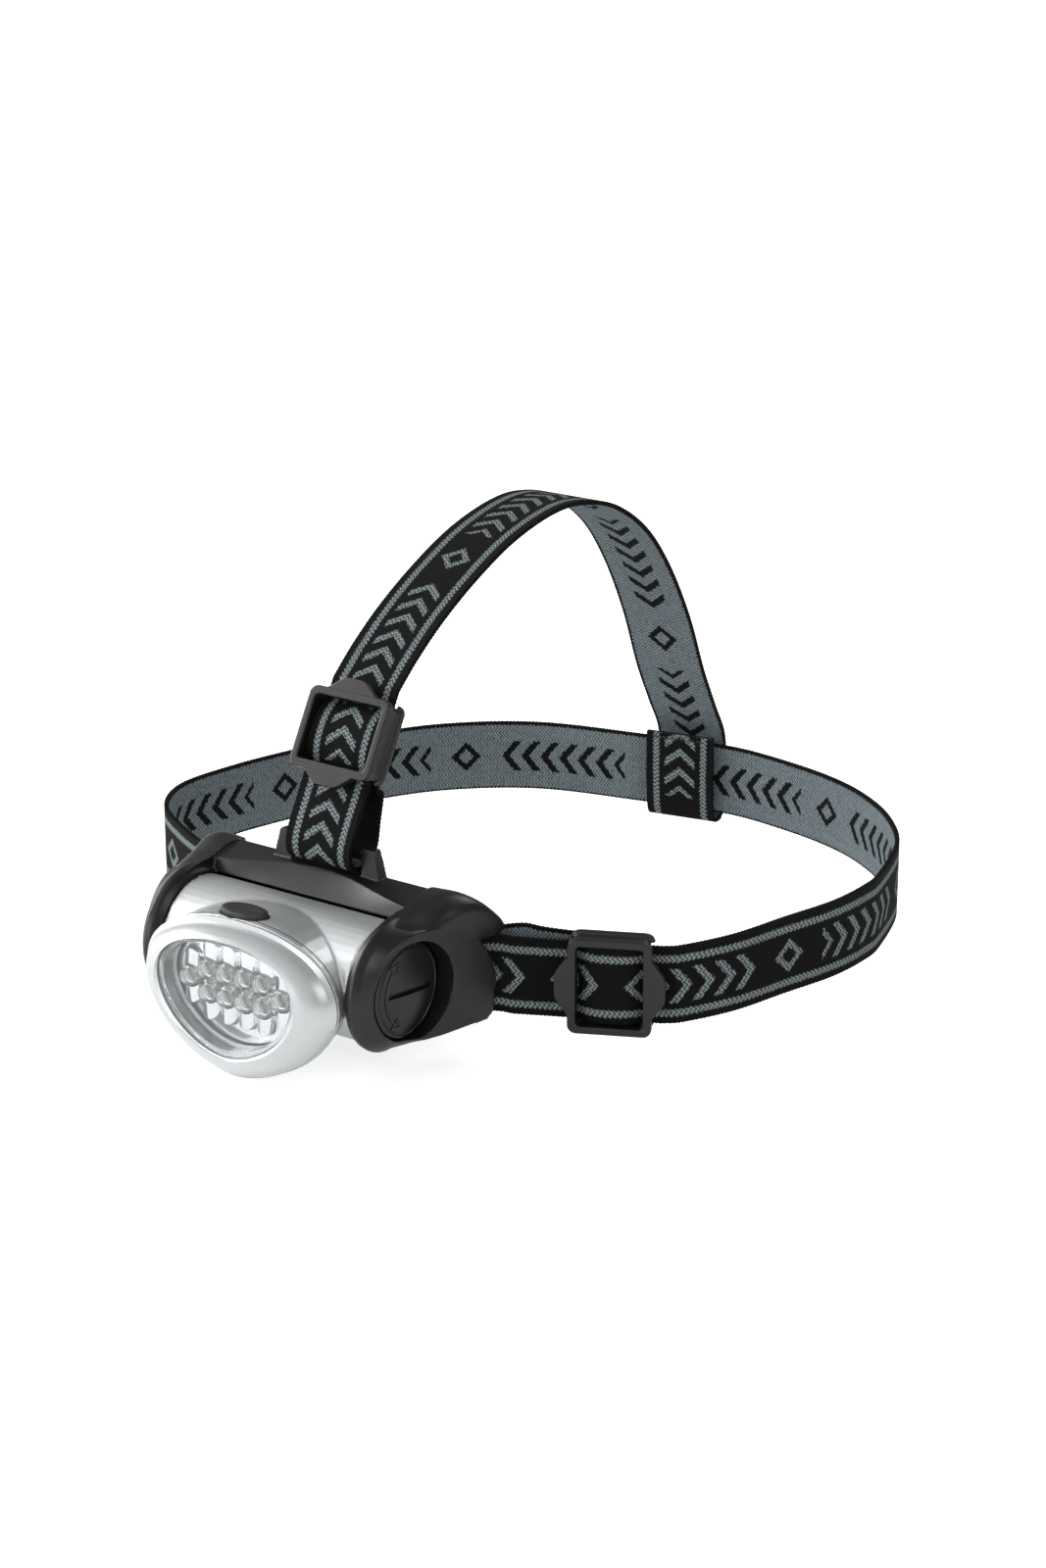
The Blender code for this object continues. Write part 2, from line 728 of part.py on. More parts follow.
def back_plate():
    front = BACK + GAP
    low = (-PLATE_HALF, front, PLATE_BOTTOM)
    plate = box("back_plate", low, (PLATE_HALF, front + PLATE_THICK, PLATE_TOP))
    bevel(plate, 0.5)
    hole = SCREW_RADIUS + GAP
    seat = SCREW_HEAD_RADIUS + GAP
    for place in screw_places():
        cut(plate, rod("plate hole", hole, front - 2, front + 4, 16, "Y", place))
        cut(plate, rod("head seat", seat, front + 0.6, front + 4, 16, "Y", place))
    finish(plate, "black_plastic")


def plate_screws():
    head_top = BACK + GAP + PLATE_THICK - 0.1
    head_under = head_top - 0.7
    profile = (
        (0.0, head_top),
        (SCREW_HEAD_RADIUS - 0.2, head_top),
        (SCREW_HEAD_RADIUS, head_under + 0.2),
        (SCREW_RADIUS, head_under),
        (SCREW_RADIUS, BACK - 5.0),
        (0.0, BACK - 5.8),
    )
    for number, (x, z) in enumerate(screw_places(), 1):
        screw = turned(f"plate_screw_{number}", profile, 12)
        finish(screw, "steel", at=(x, 0.0, z))
        screw.rotation_euler = (math.radians(-90), 0.0, 0.0)


def forehead_pad():
    front = BACK + GAP + PLATE_THICK + GAP
    half_width, half_height = PAD_HALF
    low = (-half_width, front, -half_height)
    pad = box("forehead_pad", low, (half_width, PAD_BACK, half_height))
    bevel(pad, 2.0)
    finish(pad, "foam")


# Straps


def side_run(distance, depth=0.0):
    return SIDE_RUN_START + SIDE_ALONG * distance - SIDE_OUTWARD * depth


def headband():
    """One length of webbing: sewn at the side buckle, in through the right-hand slot,
    out along the side, round the back of the head, and round the left-hand slot's bar."""
    doubled_end = side_run(SIDE_BUCKLE_AT + DOUBLED_PAST, DOUBLED)
    rise = Vector((0.0, 0.0, SIDE_DOUBLED_RISE))
    right = [doubled_end, side_run(SIDE_DOUBLED_START, DOUBLED) + rise]
    right += [(x, y, SLOT_MIDDLE) for x, y in reversed(SLOT_INNER[:4])]
    right += [(x, y, SLOT_MIDDLE) for x, y in reversed(SLOT_WRAP)]
    right += [(x, y, SLOT_MIDDLE - 0.1) for x, y in reversed(SLOT_OUTER)]
    right += [side_run(0.0)]
    left = [(-x, y, SLOT_MIDDLE - 0.1) for x, y in SLOT_OUTER]
    left += [(-x, y, SLOT_MIDDLE) for x, y in SLOT_WRAP]
    left += [(-x, y, SLOT_MIDDLE) for x, y in SLOT_INNER]
    path = smooth_path(right, STRAP_STEP / 2)
    path += smooth_path([side_run(SIDE_RUN_LENGTH), *HEADBAND_LOOP], STRAP_STEP)
    path += smooth_path([HEADBAND_LOOP[-1], *left], STRAP_STEP / 2)[1:]
    strap = webbing("headband", path, [Vector((0.0, 0.0, 1.0))] * len(path))
    finish(strap, "webbing")


def top_run(distance, depth=0.0):
    return TOP_RUN_START + TOP_ALONG * distance - TOP_OUTWARD * depth


def top_strap():
    """One length of webbing: sewn at the top buckle, down behind the lug's crossbar, up
    the front, over the head, and round the headband at the back."""
    across = Vector((1.0, 0.0, 0.0))
    front = [top_run(TOP_BUCKLE_AT + DOUBLED_PAST, DOUBLED), top_run(TOP_DOUBLED_START, DOUBLED)]
    front += [(0.0, y, z) for y, z in reversed(LUG_LOOP_BACK)]
    front += [(0.0, y, z) for y, z in reversed(LUG_LOOP)]
    front += [top_run(0.0)]
    path = smooth_path(front, STRAP_STEP / 2)
    ways = [across] * len(path)
    start = (*top_run(TOP_RUN_LENGTH), 0.0)
    for x, y, z, twist in smooth_path([start, *TOP_LOOP], STRAP_STEP):
        path.append(Vector((x, y, z)))
        ways.append(Vector((*on_circle(1.0, twist), 0.0)))
    strap = webbing("top_strap", path, ways)
    finish(strap, "webbing")


# Buckles: each is built in its pivot's axes, x along the strap and z outwards


def buckle_mesh(name):
    length, width = BUCKLE_HALF_LENGTH, BUCKLE_HALF_WIDTH
    outline = []
    for x, y, start in (
        (length, width, 0),
        (-length, width, 90),
        (-length, -width, 180),
        (length, -width, 270),
    ):
        middle = [edge - math.copysign(BUCKLE_CORNER, edge) for edge in (x, y)]
        outline += arc(middle, BUCKLE_CORNER, start, start + 90, 4)
    frame = prism(name, outline, BUCKLE_BACK, BUCKLE_FRONT)
    bevel(frame, 0.5)
    for side in (1, -1):
        tab = [(side * (length + past), -half) for past, half in BUCKLE_TAB_OUTLINE]
        tab.append((side * (length + BUCKLE_TAB), 0.0))
        tab += [(x, -y) for x, y in reversed(tab[:-1])]
        bottom, top = (BUCKLE_FRONT - depth for depth in BUCKLE_TAB_DEPTH)
        join(frame, prism("tab", tab, bottom, top))
    half_long, half_wide = BUCKLE_WINDOW
    cut(frame, box("window", (-half_long, -half_wide, -9), (half_long, half_wide, 9)))
    strap_top = STRAP_THICK / 2 + 0.5
    cut(frame, box("strap way", (-30, -half_wide, -9), (30, half_wide, strap_top)))
    bar_top = -STRAP_THICK / 2 - 0.4
    half_long, half_wide = BUCKLE_BAR_HALF
    low = (-half_long, -half_wide, BUCKLE_BACK)
    join(frame, box("centre bar", low, (half_long, half_wide, bar_top)))
    return frame


def buckles():
    for name, parent in (("buckle_side", SIDE_BUCKLE), ("buckle_top", TOP_BUCKLE)):
        finish(buckle_mesh(name), "black_plastic", parent, keep_local=True)


# Lamp head


def lamp_housing():
    """The tube for the batteries and the nose in front of it, moulded as one shell."""
    housing = loft("lamp_housing", [nose_ring(section) for section in NOSE])
    join(housing, rod("tube", TUBE_RADIUS, -TUBE_HALF, TUBE_HALF, 48))
    front = NOSE[-1]
    cavity = [
        nose_ring(NOSE[-2], CAVITY_WALL, CAVITY_BACK),
        nose_ring(front, CAVITY_WALL, front[0] - 3.0),
    ]
    cut(housing, loft("front cavity", cavity))
    cut(housing, rod("bore", BORE_RADIUS, BORE_END, TUBE_HALF + 5, 48))
    x, y, z = BUTTON_AT
    pocket = [(x + a, y + b) for a, b in oval(BUTTON_HALF[0] + GAP, BUTTON_HALF[1] + GAP)]
    cut(housing, prism("button pocket", pocket, z - BUTTON_POCKET_DEPTH, z + 9))
    half = SWITCH_HALF + 0.4
    low = (x - half, y - half, z - SWITCH_POCKET_DEPTH)
    cut(housing, box("switch pocket", low, (x + half, y + half, z)))
    wire_x, wire_radius = WIRE_HOLE
    cut(housing, rod("wire hole", wire_radius, -20, -10, 12, "Y", (wire_x, 0.0)))
    cut(housing, rod("end plug hole", PLUG_STEM_RADIUS + GAP, -40, -20, 16))
    finish(housing, "silver_paint", HEAD)


def end_plug():
    """The black trunnion in the left-hand ear, where the right-hand one is the cap."""
    plug = rod("pivot_plug", CAP_RADIUS, -CAP_FACE, -TUBE_HALF - GAP, 48)
    bevel(plug, 0.5)
    join(plug, rod("plug stem", PLUG_STEM_RADIUS, -TUBE_HALF - 1, BORE_END + 0.2, 16))
    finish(plug, "black_plastic", HEAD)


def bezel():
    rings = [nose_ring(section) for section in BEZEL]
    rings.append(opening_ring(OPENING[0]))
    rings.append(opening_ring(SEAT_START - 1.0))
    rings.append(opening_ring(SEAT_START, -SEAT_DEPTH))
    rings.append(opening_ring(SEAT_END, -SEAT_DEPTH))
    rings.append(nose_ring(BEZEL[0], 1.6, BEZEL[0][0] - 0.5))
    rings.append(nose_ring(BEZEL[0], 1.6))
    finish(loft("bezel", rings, wrap=True), "silver_paint", HEAD)


def lens():
    """A clear cup: a domed window with a skirt that reaches back round the reflector."""
    outer = [opening_ring(y, GAP, scale) for y, scale in LENS_DOME]
    outer.append(opening_ring(LENS_BACK, GAP))
    inner = [opening_ring(LENS_BACK, GAP + LENS_WALL)]
    inner += [
        opening_ring(y + LENS_WALL, GAP + LENS_WALL, scale)
        for y, scale in reversed(LENS_DOME)
    ]
    finish(loft("lens", outer + inner), "clear_plastic", HEAD)


def lens_seal():
    rings = [opening_ring(y, inset) for y, inset in LENS_SEAL]
    finish(loft("lens_seal", rings, wrap=True), "rubber", HEAD)


def led_places():
    """Four diodes in each of two rows and one at each end, as (x, z)."""
    rows = [
        (LED_PITCH * (i - 1.5), LED_MIDDLE + LED_ROW * side)
        for side in (1, -1)
        for i in range(4)
    ]
    return rows + [(-2.5 * LED_PITCH, LED_MIDDLE), (2.5 * LED_PITCH, LED_MIDDLE)]


def reflector():
    """A bright tray with a hole for each diode and a rim that flares to the lens."""
    tray = loft("reflector", [opening_ring(y, inset) for y, inset in REFLECTOR])
    for x, z in led_places():
        cut(tray, rod("diode hole", LED_RADIUS + 0.15, -30, -10, 12, "Y", (x, z)))
    finish(tray, "chrome", HEAD)


def led_board():
    outline = eye(*BOARD_SIZE, LED_MIDDLE, (2.0, 2.0), 32)
    board = prism("led_board", outline, BOARD[0], BOARD[1], "Y")
    finish(board, "circuit_board", HEAD)


def leds():
    length = LED_BASE - LED_TIP
    dome = length - LED_RADIUS
    profile = [(0.0, length)]
    profile += [on_circle(LED_RADIUS, degrees, (0.0, dome)) for degrees in (60, 30, 0)]
    profile += [(LED_RADIUS, 1.0), (LED_FLANGE, 1.0), (LED_FLANGE, 0.0), (0.0, 0.0)]
    for number, (x, z) in enumerate(led_places(), 1):
        led = turned(f"led_{number:02d}", profile, 12)
        finish(led, "led_resin", HEAD, (x, LED_BASE, z))
        led.rotation_euler = (math.radians(90), 0.0, 0.0)


def push_button():
    """An oval rubber dome on a collar, with a stem down to the switch."""
    rings = [
        [(a, b, height) for a, b in oval(BUTTON_HALF[0] - inset, BUTTON_HALF[1] - inset)]
        for height, inset in BUTTON_LEVELS
    ]
    button = loft("push_button", rings)
    radius, bottom = BUTTON_STEM
    join(button, rod("stem", radius, bottom, 0.2, 12, "Z"))
    finish(button, "rubber", BUTTON, keep_local=True)


def switch():
    x, y, z = BUTTON_AT
    bottom, top = SWITCH_BODY
    low = (x - SWITCH_HALF, y - SWITCH_HALF, z + bottom)
    body = box("tact_switch", low, (x + SWITCH_HALF, y + SWITCH_HALF, z + top))
    join(body, rod("plunger", PLUNGER_RADIUS, z + top - 0.6, z + PLUNGER_TOP, 12, "Z", (x, y)))
    finish(body, "carrier_plastic", HEAD)


# Batteries and contacts


def cells():
    profile = (
        (0.0, CELL_LENGTH),
        (1.9, CELL_LENGTH),
        (1.9, CELL_LENGTH - 1.0),
        (CELL_RADIUS - 0.6, CELL_LENGTH - 1.0),
        (CELL_RADIUS, CELL_LENGTH - 1.5),
        (CELL_RADIUS, 0.0),
        (0.0, 0.0),
    )
    for number in range(3):
        y, z = on_circle(CELL_CIRCLE, 90 + 120 * number)
        cell = turned(f"cell_{number + 1}", profile, 20)
        finish(cell, "cell_sleeve", HEAD, (CELL_START, y, z))
        cell.rotation_euler = (0.0, math.radians(90), 0.0)


def battery_carrier():
    """Two end discs joined by a spine between the cells and three outer struts."""
    left, right = CELL_START - GAP, CELL_START + CELL_LENGTH + GAP
    carrier = rod("battery_carrier", CARRIER_RADIUS, left - CARRIER_DISC, left, 32)
    join(carrier, rod("right disc", CARRIER_RADIUS, right, right + CARRIER_DISC, 32))
    join(carrier, rod("spine", SPINE_RADIUS, left - 0.5, right + 0.5, 8))
    for number in range(3):
        place = on_circle(STRUT_CIRCLE, 30 + 120 * number)
        join(carrier, rod("strut", STRUT_RADIUS, left - 0.5, right + 0.5, 8, at=place))
    finish(carrier, "carrier_plastic", HEAD)


def contact_spring():
    """A flat conical spring between the end of the bore and the carrier."""
    wide, narrow = SPRING_RADII
    count = SPRING_TURNS * 10
    points = []
    for i in range(count + 1):
        share = i / count
        y, z = on_circle(wide + (narrow - wide) * share, 360 * SPRING_TURNS * share)
        points.append((BORE_END + 0.4 + 0.9 * share, y, z))
    finish(wire("contact_spring", points, SPRING_WIRE), "steel", HEAD)


def wires():
    """The two leads from the battery space, through the wall, to the board."""
    for name, look, side in (("wire_red", "red_wire", 1), ("wire_black", "black_wire", -1)):
        start, end = 0.55 * side, LED_MIDDLE + 4.6 * side
        x = WIRE_HOLE[0]
        points = [(x, -10.9, start), (x, -14.8, start), (x - 0.1, -16.6, start)]
        points += [(x - 0.6, -16.8, (start + end) / 2), (x - 4.4, -16.5, end)]
        finish(wire(name, points, LEAD_RADIUS), look, HEAD)


def battery_cap():
    """A coin-slotted cap whose drum runs in the ear's hole and whose plug is in the bore."""
    start, end, depth = GROOVE
    profile = [
        (0.0, CAP_FACE + CAP_DOME),
        (4.0, CAP_FACE + CAP_DOME * 0.9),
        (8.0, CAP_FACE + CAP_DOME * 0.55),
        (CAP_RADIUS - 0.7, CAP_FACE),
        (CAP_RADIUS, CAP_FACE - 0.6),
        (CAP_RADIUS, TUBE_HALF + GAP),
        (CAP_PLUG_RADIUS, TUBE_HALF + GAP),
        (CAP_PLUG_RADIUS, end),
        (CAP_PLUG_RADIUS - depth, end),
        (CAP_PLUG_RADIUS - depth, start),
        (CAP_PLUG_RADIUS, start),
        (CAP_PLUG_RADIUS, CAP_PLUG_START),
        (0.0, CAP_PLUG_START),
    ]
    cap = turned("battery_cap", [(radius, x - CAP_FACE) for radius, x in profile], 40)
    length, width, depth = CAP_SLOT
    top = CAP_DOME + 3
    groove = box("coin slot", (-width / 2, -length / 2, -depth + 0.4), (width / 2, length / 2, top))
    turn = Matrix.Rotation(math.radians(90), 4, "Y") @ Matrix.Rotation(CAP_SLOT_TURN, 4, "Z")
    cut(cap, groove)
    finish(cap, "black_plastic", CAP, keep_local=True)
    cap.rotation_euler = groove.rotation_euler = turn.to_euler()


def cap_seal():
    """A rubber ring in the groove round the cap's plug."""
    bpy.ops.mesh.primitive_torus_add(
        major_segments=36,
        minor_segments=8,
        major_radius=(BORE_RADIUS - 0.15 - SEAL_RADIUS) * MM,
        minor_radius=SEAL_RADIUS * MM,
        rotation=(0.0, math.radians(90), 0.0),
    )
    seal = bpy.context.object
    seal.name = "cap_seal"
    for group in seal.users_collection:
        group.objects.unlink(seal)
    HEADLAMP.objects.link(seal)
    middle = (GROOVE[0] + GROOVE[1]) / 2 - CAP_FACE
    finish(seal, "rubber", CAP, (middle, 0.0, 0.0), keep_local=True)


def contact_disc():
    radius, start, end = CONTACT
    disc = rod("contact_disc", radius, start - CAP_FACE, end - CAP_FACE, 32)
    finish(disc, "brass", CAP, keep_local=True)


bracket()
back_plate()
plate_screws()
forehead_pad()
headband()
top_strap()
buckles()
lamp_housing()
end_plug()
bezel()
lens()
lens_seal()
reflector()
led_board()
leds()
push_button()
switch()
cells()
battery_carrier()
contact_spring()
wires()
battery_cap()
cap_seal()
contact_disc()
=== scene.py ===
"""The headlamp's looks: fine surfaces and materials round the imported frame.

Shapes are made in millimetres from the middle of the lamp's tilt axis, as in the design.
TO_ROW moves them into the row's frame, in metres.
"""

import json
import math

import bmesh
import bpy
import numpy as np
from mathutils import Matrix, Vector


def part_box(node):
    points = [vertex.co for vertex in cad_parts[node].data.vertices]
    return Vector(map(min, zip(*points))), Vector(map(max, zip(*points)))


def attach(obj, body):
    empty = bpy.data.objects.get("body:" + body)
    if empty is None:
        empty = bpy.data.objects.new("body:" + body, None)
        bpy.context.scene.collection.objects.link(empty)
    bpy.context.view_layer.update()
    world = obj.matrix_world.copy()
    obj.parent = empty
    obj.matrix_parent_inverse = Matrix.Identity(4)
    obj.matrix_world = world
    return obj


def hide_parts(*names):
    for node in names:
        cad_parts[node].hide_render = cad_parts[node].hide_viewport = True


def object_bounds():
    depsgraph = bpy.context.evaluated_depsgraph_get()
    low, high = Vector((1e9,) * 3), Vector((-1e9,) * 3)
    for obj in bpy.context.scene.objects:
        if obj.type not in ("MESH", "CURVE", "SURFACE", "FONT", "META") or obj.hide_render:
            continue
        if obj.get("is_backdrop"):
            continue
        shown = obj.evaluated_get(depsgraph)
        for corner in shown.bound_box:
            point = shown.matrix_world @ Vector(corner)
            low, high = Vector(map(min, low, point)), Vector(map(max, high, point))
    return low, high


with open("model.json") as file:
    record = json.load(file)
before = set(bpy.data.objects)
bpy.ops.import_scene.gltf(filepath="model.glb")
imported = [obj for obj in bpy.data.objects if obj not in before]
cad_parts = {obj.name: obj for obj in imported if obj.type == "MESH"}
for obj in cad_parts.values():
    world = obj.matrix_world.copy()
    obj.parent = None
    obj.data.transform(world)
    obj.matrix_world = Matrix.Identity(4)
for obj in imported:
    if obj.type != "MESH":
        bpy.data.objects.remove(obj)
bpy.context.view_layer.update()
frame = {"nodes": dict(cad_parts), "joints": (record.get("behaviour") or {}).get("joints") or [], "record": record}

MM = 0.001
JOINTS = {joint["name"]: joint for joint in frame["joints"]}
TILT_AXIS = Vector(JOINTS["head_tilt"]["pos_m"])
TO_ROW = Matrix.Translation(TILT_AXIS) @ Matrix.Scale(MM, 4)

# Webbing
STRAP_WIDTH = 20.0
STRAP_THICK = 1.2
STRAP_STEP = 0.5  # spacing of its rows along the strap
STRAP_COLUMNS = 20
STRAP_EDGE = 1.012  # how far out its rounded edges are, as a share of half its width
RIB_PITCH = 1.1
RIB_DEPTH = 0.10
DOUBLED = 3.6  # how far a strap's sewn-down tail lies behind its outer layer
TAIL_PAST = 9.0  # how far the tail runs on past the middle of the buckle
SIDE_TAIL_FROM, TOP_TAIL_FROM = 9.0, 12.0  # where on its run each tail starts
TOP_TAIL_PLAIN = 38.0  # length of the top strap's tail that is plain black inside
SEAM_OFFSETS = (-4.5, 6.5)  # its two seams, from the middle of the buckle
SEAM_INSET = 1.6  # how far a seam stops short of the strap's edges
SEAM_RISE = STRAP_THICK / 2 + 0.06


class Run:
    """A straight stretch of strap, with a buckle on it."""

    def __init__(self, start, along, across, length, buckle_at):
        self.start, self.along, self.across = Vector(start), Vector(along), Vector(across)
        self.outward = self.along.cross(self.across)
        self.length, self.buckle_at = length, buckle_at

    def at(self, distance, depth=0.0):
        """The point at a distance along the stretch, and at a depth behind it."""
        return self.start + self.along * distance - self.outward * depth


SIDE_ANGLE, TOP_ANGLE = math.radians(26.0), math.radians(60.6)
SIDE_ALONG = (math.cos(SIDE_ANGLE), math.sin(SIDE_ANGLE), 0.0)
TOP_ALONG = (0.0, math.cos(TOP_ANGLE), math.sin(TOP_ANGLE))
SIDE = Run((46.0, 29.6, -3.7), SIDE_ALONG, (0.0, 0.0, 1.0), length=37.0, buckle_at=24.5)
TOP = Run((0.0, 14.2, 31.2), TOP_ALONG, (-1.0, 0.0, 0.0), length=35.5, buckle_at=21.8)

# Bracket
RING_X = 29.2  # inner face of each ear
RING_RADIUS = 15.6
EAR_PROFILE = (  # x, its lean behind the axis, front radius, share of the whole outline
    (29.2, 0.0, 17.4, 0.89),
    (30.8, 0.1, 17.4, 0.98),
    (32.4, 0.15, 17.4, 1.0),
    (34.0, 0.2, 16.2, 1.0),
)
EAR_FACE = (38.4, 0.198)  # the ear's outer face is the plane x = 38.4 + 0.198 y
HOLE_RADIUS = 12.57
RING_FRONT = (72.0, 262.0)  # where the ear's round front starts and ends, in degrees
EAR_CORNER = (22.4, -10.8)  # y and z of the middle of its lower rear corner
EAR_TOP = (5.5, -6.5)  # y and z of the middle of the arc along its top
EAR_REST = (((4.2, -15.3), (9.0, -14.7)), 3.6, 21.4)  # its lower edge, corner and top radii
EAR_FACE_OUTLINE = (13.2, 15.2, ((3.6, -13.4), (9.0, -13.8)), 3.0, 20.8)
BAR_LIP = (6.7, 13.6)  # y and z of the top bar's lower front edge
CREASE = (10.35, 18.2)  # y and z of the crease between its front and its top
CREASE_SWING = (2.95, 1.1)  # how far the crease swings back and up in the middle
CREASE_REACH = 36.0  # the swing's half wave along x
BAR_TOP = 19.3
BACK = 18.2
FLOOR = -13.8
FLOOR_FRONT = 11.0
BAR_BEVEL, FLOOR_BEVEL = 0.9, 1.0
SLOT_MIDDLE = -3.2
SLOT_WALL = 1.8
SLOT_FRONT, SLOT_REAR = 19.2, 31.0
SLOT_FLOOR = ((31.0, 17.4), (41.6, 20.4), (42.2, 24.6), (36.0, 26.6), (31.0, 21.5))
SLOT_BAR_AT = (37.0, 23.7)
SLOT_BAR_RADIUS = 1.3
LUG_FOOT = ((10.9, 14.4), (16.4, 14.4), (16.4, 17.9), (10.9, 17.9))
LUG_HEAD = ((10.9, 15.0), (14.9, 15.0), (14.9, 17.6), (10.9, 17.6))
LUG_LEVELS = ((LUG_FOOT, 18.4), (LUG_FOOT, 19.6), (LUG_HEAD, 26.2))
LUG_BAR = (13.0, (15.2, 17.4), (22.9, 25.2))  # half its length, then its y and z
SHOULDER = (  # y, then the outline's corners as (x, z)
    (-3.0, ((30.3, 9.5), (34.5, 9.5), (35.2, 12.5), (34.6, 14.6), (33.0, 16.2), (30.3, 16.7))),
    (1.0, ((30.3, 12.0), (37.6, 11.0), (38.2, 13.3), (37.2, 15.3), (34.6, 16.7), (30.3, 17.5))),
    (8.0, ((30.3, 11.0), (39.6, 11.0), (40.0, 13.6), (38.8, 16.3), (35.4, 17.8), (30.3, 18.2))),
    (14.0, ((30.3, 9.0), (40.8, 9.0), (41.4, 13.2), (40.5, 17.4), (36.5, 19.4), (30.3, 19.5))),
    (19.0, ((30.0, 7.5), (41.9, 7.5), (42.8, 12.2), (41.8, 17.3), (37.2, 19.4), (30.0, 19.2))),
    (23.0, ((33.0, 7.4), (42.7, 7.4), (43.8, 10.8), (43.2, 15.2), (39.2, 17.0), (33.0, 16.0))),
    (26.5, ((36.0, 7.4), (43.4, 7.4), (44.6, 9.6), (44.3, 12.1), (41.2, 13.4), (36.0, 12.6))),
    (28.2, ((38.0, 7.8), (43.7, 7.8), (44.6, 9.1), (44.3, 10.3), (42.0, 11.1), (38.0, 10.6))),
)

# Where the straps run: x, y, z for the headband, x and y for its way through a slot, y and z
# for the top strap's way through its lug, and x, y, z and a twist in degrees over the head
HEADBAND_LOOP = (
    (83.5, 48.6, -3.2), (91.5, 59.0, -1.8), (97.2, 73.3, -0.6), (102.2, 87.4, 0.2),
    (103.4, 100.6, 0.4), (102.0, 111.0, 0.4), (94.4, 133.0, 0.4), (82.5, 149.0, 0.4),
    (69.0, 160.0, 0.4), (55.0, 167.0, 0.4), (37.5, 171.6, 0.4), (17.0, 173.6, 0.4),
    (-9.6, 168.4, 0.4), (-39.2, 160.0, 0.4), (-60.6, 142.4, 0.4), (-74.0, 119.0, 0.4),
    (-81.0, 98.0, 0.4), (-86.0, 79.0, 0.2), (-88.8, 62.0, -0.6), (-84.0, 50.0, -2.0),
    (-72.0, 42.0, -3.0), (-58.0, 35.6, -3.7), (-46.6, 30.2, -3.7),
)
SLOT_OUTER = ((43.3, 28.3), (40.9, 26.9), (39.6, 24.9), (39.0, 22.6))
SLOT_WRAP = ((37.6, 20.8), (35.6, 20.9))
SLOT_INNER = ((34.5, 22.8), (35.3, 26.2), (40.2, 30.4), (46.5, 33.8), (53.0, 36.9))
TOP_LOOP = (
    (0.0, 39.4, 68.6, 0.0), (0.0, 50.0, 75.8, 0.0), (0.0, 64.0, 83.2, 0.0),
    (0.0, 80.0, 89.6, 0.0), (0.0, 97.0, 93.2, 0.0), (0.4, 110.0, 93.2, 0.0),
    (1.2, 124.0, 89.4, 1.0), (2.2, 137.0, 80.6, 3.0), (3.0, 147.0, 68.0, 6.0),
    (3.6, 156.0, 51.5, 9.0), (4.2, 162.6, 34.5, 11.0), (4.5, 168.6, 22.4, 11.0),
    (4.5, 173.8, 12.5, 11.0), (4.5, 174.6, 0.4, 11.0), (4.5, 173.6, -10.0, 11.0),
    (4.5, 171.2, -11.9, 11.0), (4.5, 168.8, -10.0, 11.0), (4.5, 168.0, 0.4, 11.0),
    (4.5, 168.0, 13.0, 11.0),
)
LUG_LOOP = ((12.4, 27.6), (11.7, 24.4), (12.9, 21.4), (16.2, 20.4), (20.0, 21.2))
LUG_LOOP_BACK = ((22.2, 25.0), (23.4, 30.6), (24.8, 37.4))

# Lamp head
NOSE_MIDDLE = -1.5
NOSE_POWERS = (2.2, 1.75)
BEZEL = (  # y, half width, top, bottom, lean; from the rear to the front
    (-18.8, 29.8, 15.5, -24.0, 0.0),
    (-20.4, 28.8, 14.3, -23.7, 0.08),
    (-22.8, 26.9, 13.7, -22.2, 0.06),
    (-24.7, 24.4, 12.9, -20.2, 0.05),
    (-25.8, 21.9, 12.1, -18.0, 0.04),
)
BEZEL_LIP, BEZEL_WALL = 0.35, 1.6
OPENING = (-25.4, 21.2, 11.8, -17.5)  # y, half width, top, bottom
OPENING_LEAN = 0.04
OPENING_POWERS = (2.3, 1.8)
LENS_DOME = ((-26.2, 0.15), (-26.0, 0.45), (-25.5, 0.78), (-24.8, 1.0))  # y, share of the opening
LENS_BACK = -20.4
LENS_WALL = 1.2
LENS_GAP = 0.3
REFLECTOR_FLOOR, REFLECTOR_PLATE = -17.4, -18.4
LED_RADIUS = 2.5
LED_PITCH = 5.7
LED_ROW = 3.0
LED_MIDDLE = -1.2
LED_BASE = -16.4
LED_TIP = -23.2
FLUTE_HALF = 2.75  # half the width of a reflector's flute
FLUTE_REACH = 7.6  # how far it runs from the diode's middle
FLUTE_RISE = 2.1
GROOVE_AT = -16.7  # a fine groove round the nose, behind its seam with the bezel, with painted shade in it
BUTTON_AT = Vector((-2.2, -14.1, 15.3))
BUTTON_HALF = (6.8, 3.8)
AROUND = 160  # points round the eye-shaped outlines

# Battery cap, and the plug at the other end with a face like the cap's
CAP_RADIUS = 12.2
CAP_FACE = 36.0
CAP_DOME = 1.2
CAP_DOME_RADIUS = 10.6
CAP_GROOVE = 0.25  # depth of the groove round the dome
CAP_PLUG_RADIUS = 11.9
CAP_PLUG_START = 23.7
CAP_PLUG_SHOULDER = 29.2
CAP_SEAL = (28.0, 26.0, 1.3)  # the seal's groove: its two walls, and its depth
CAP_SLOT = (16.0, 1.5, 1.3)
CAP_SLOT_TURN = -6.0
PLUG_DOME = 0.9
PLUG_LENGTH = 6.8

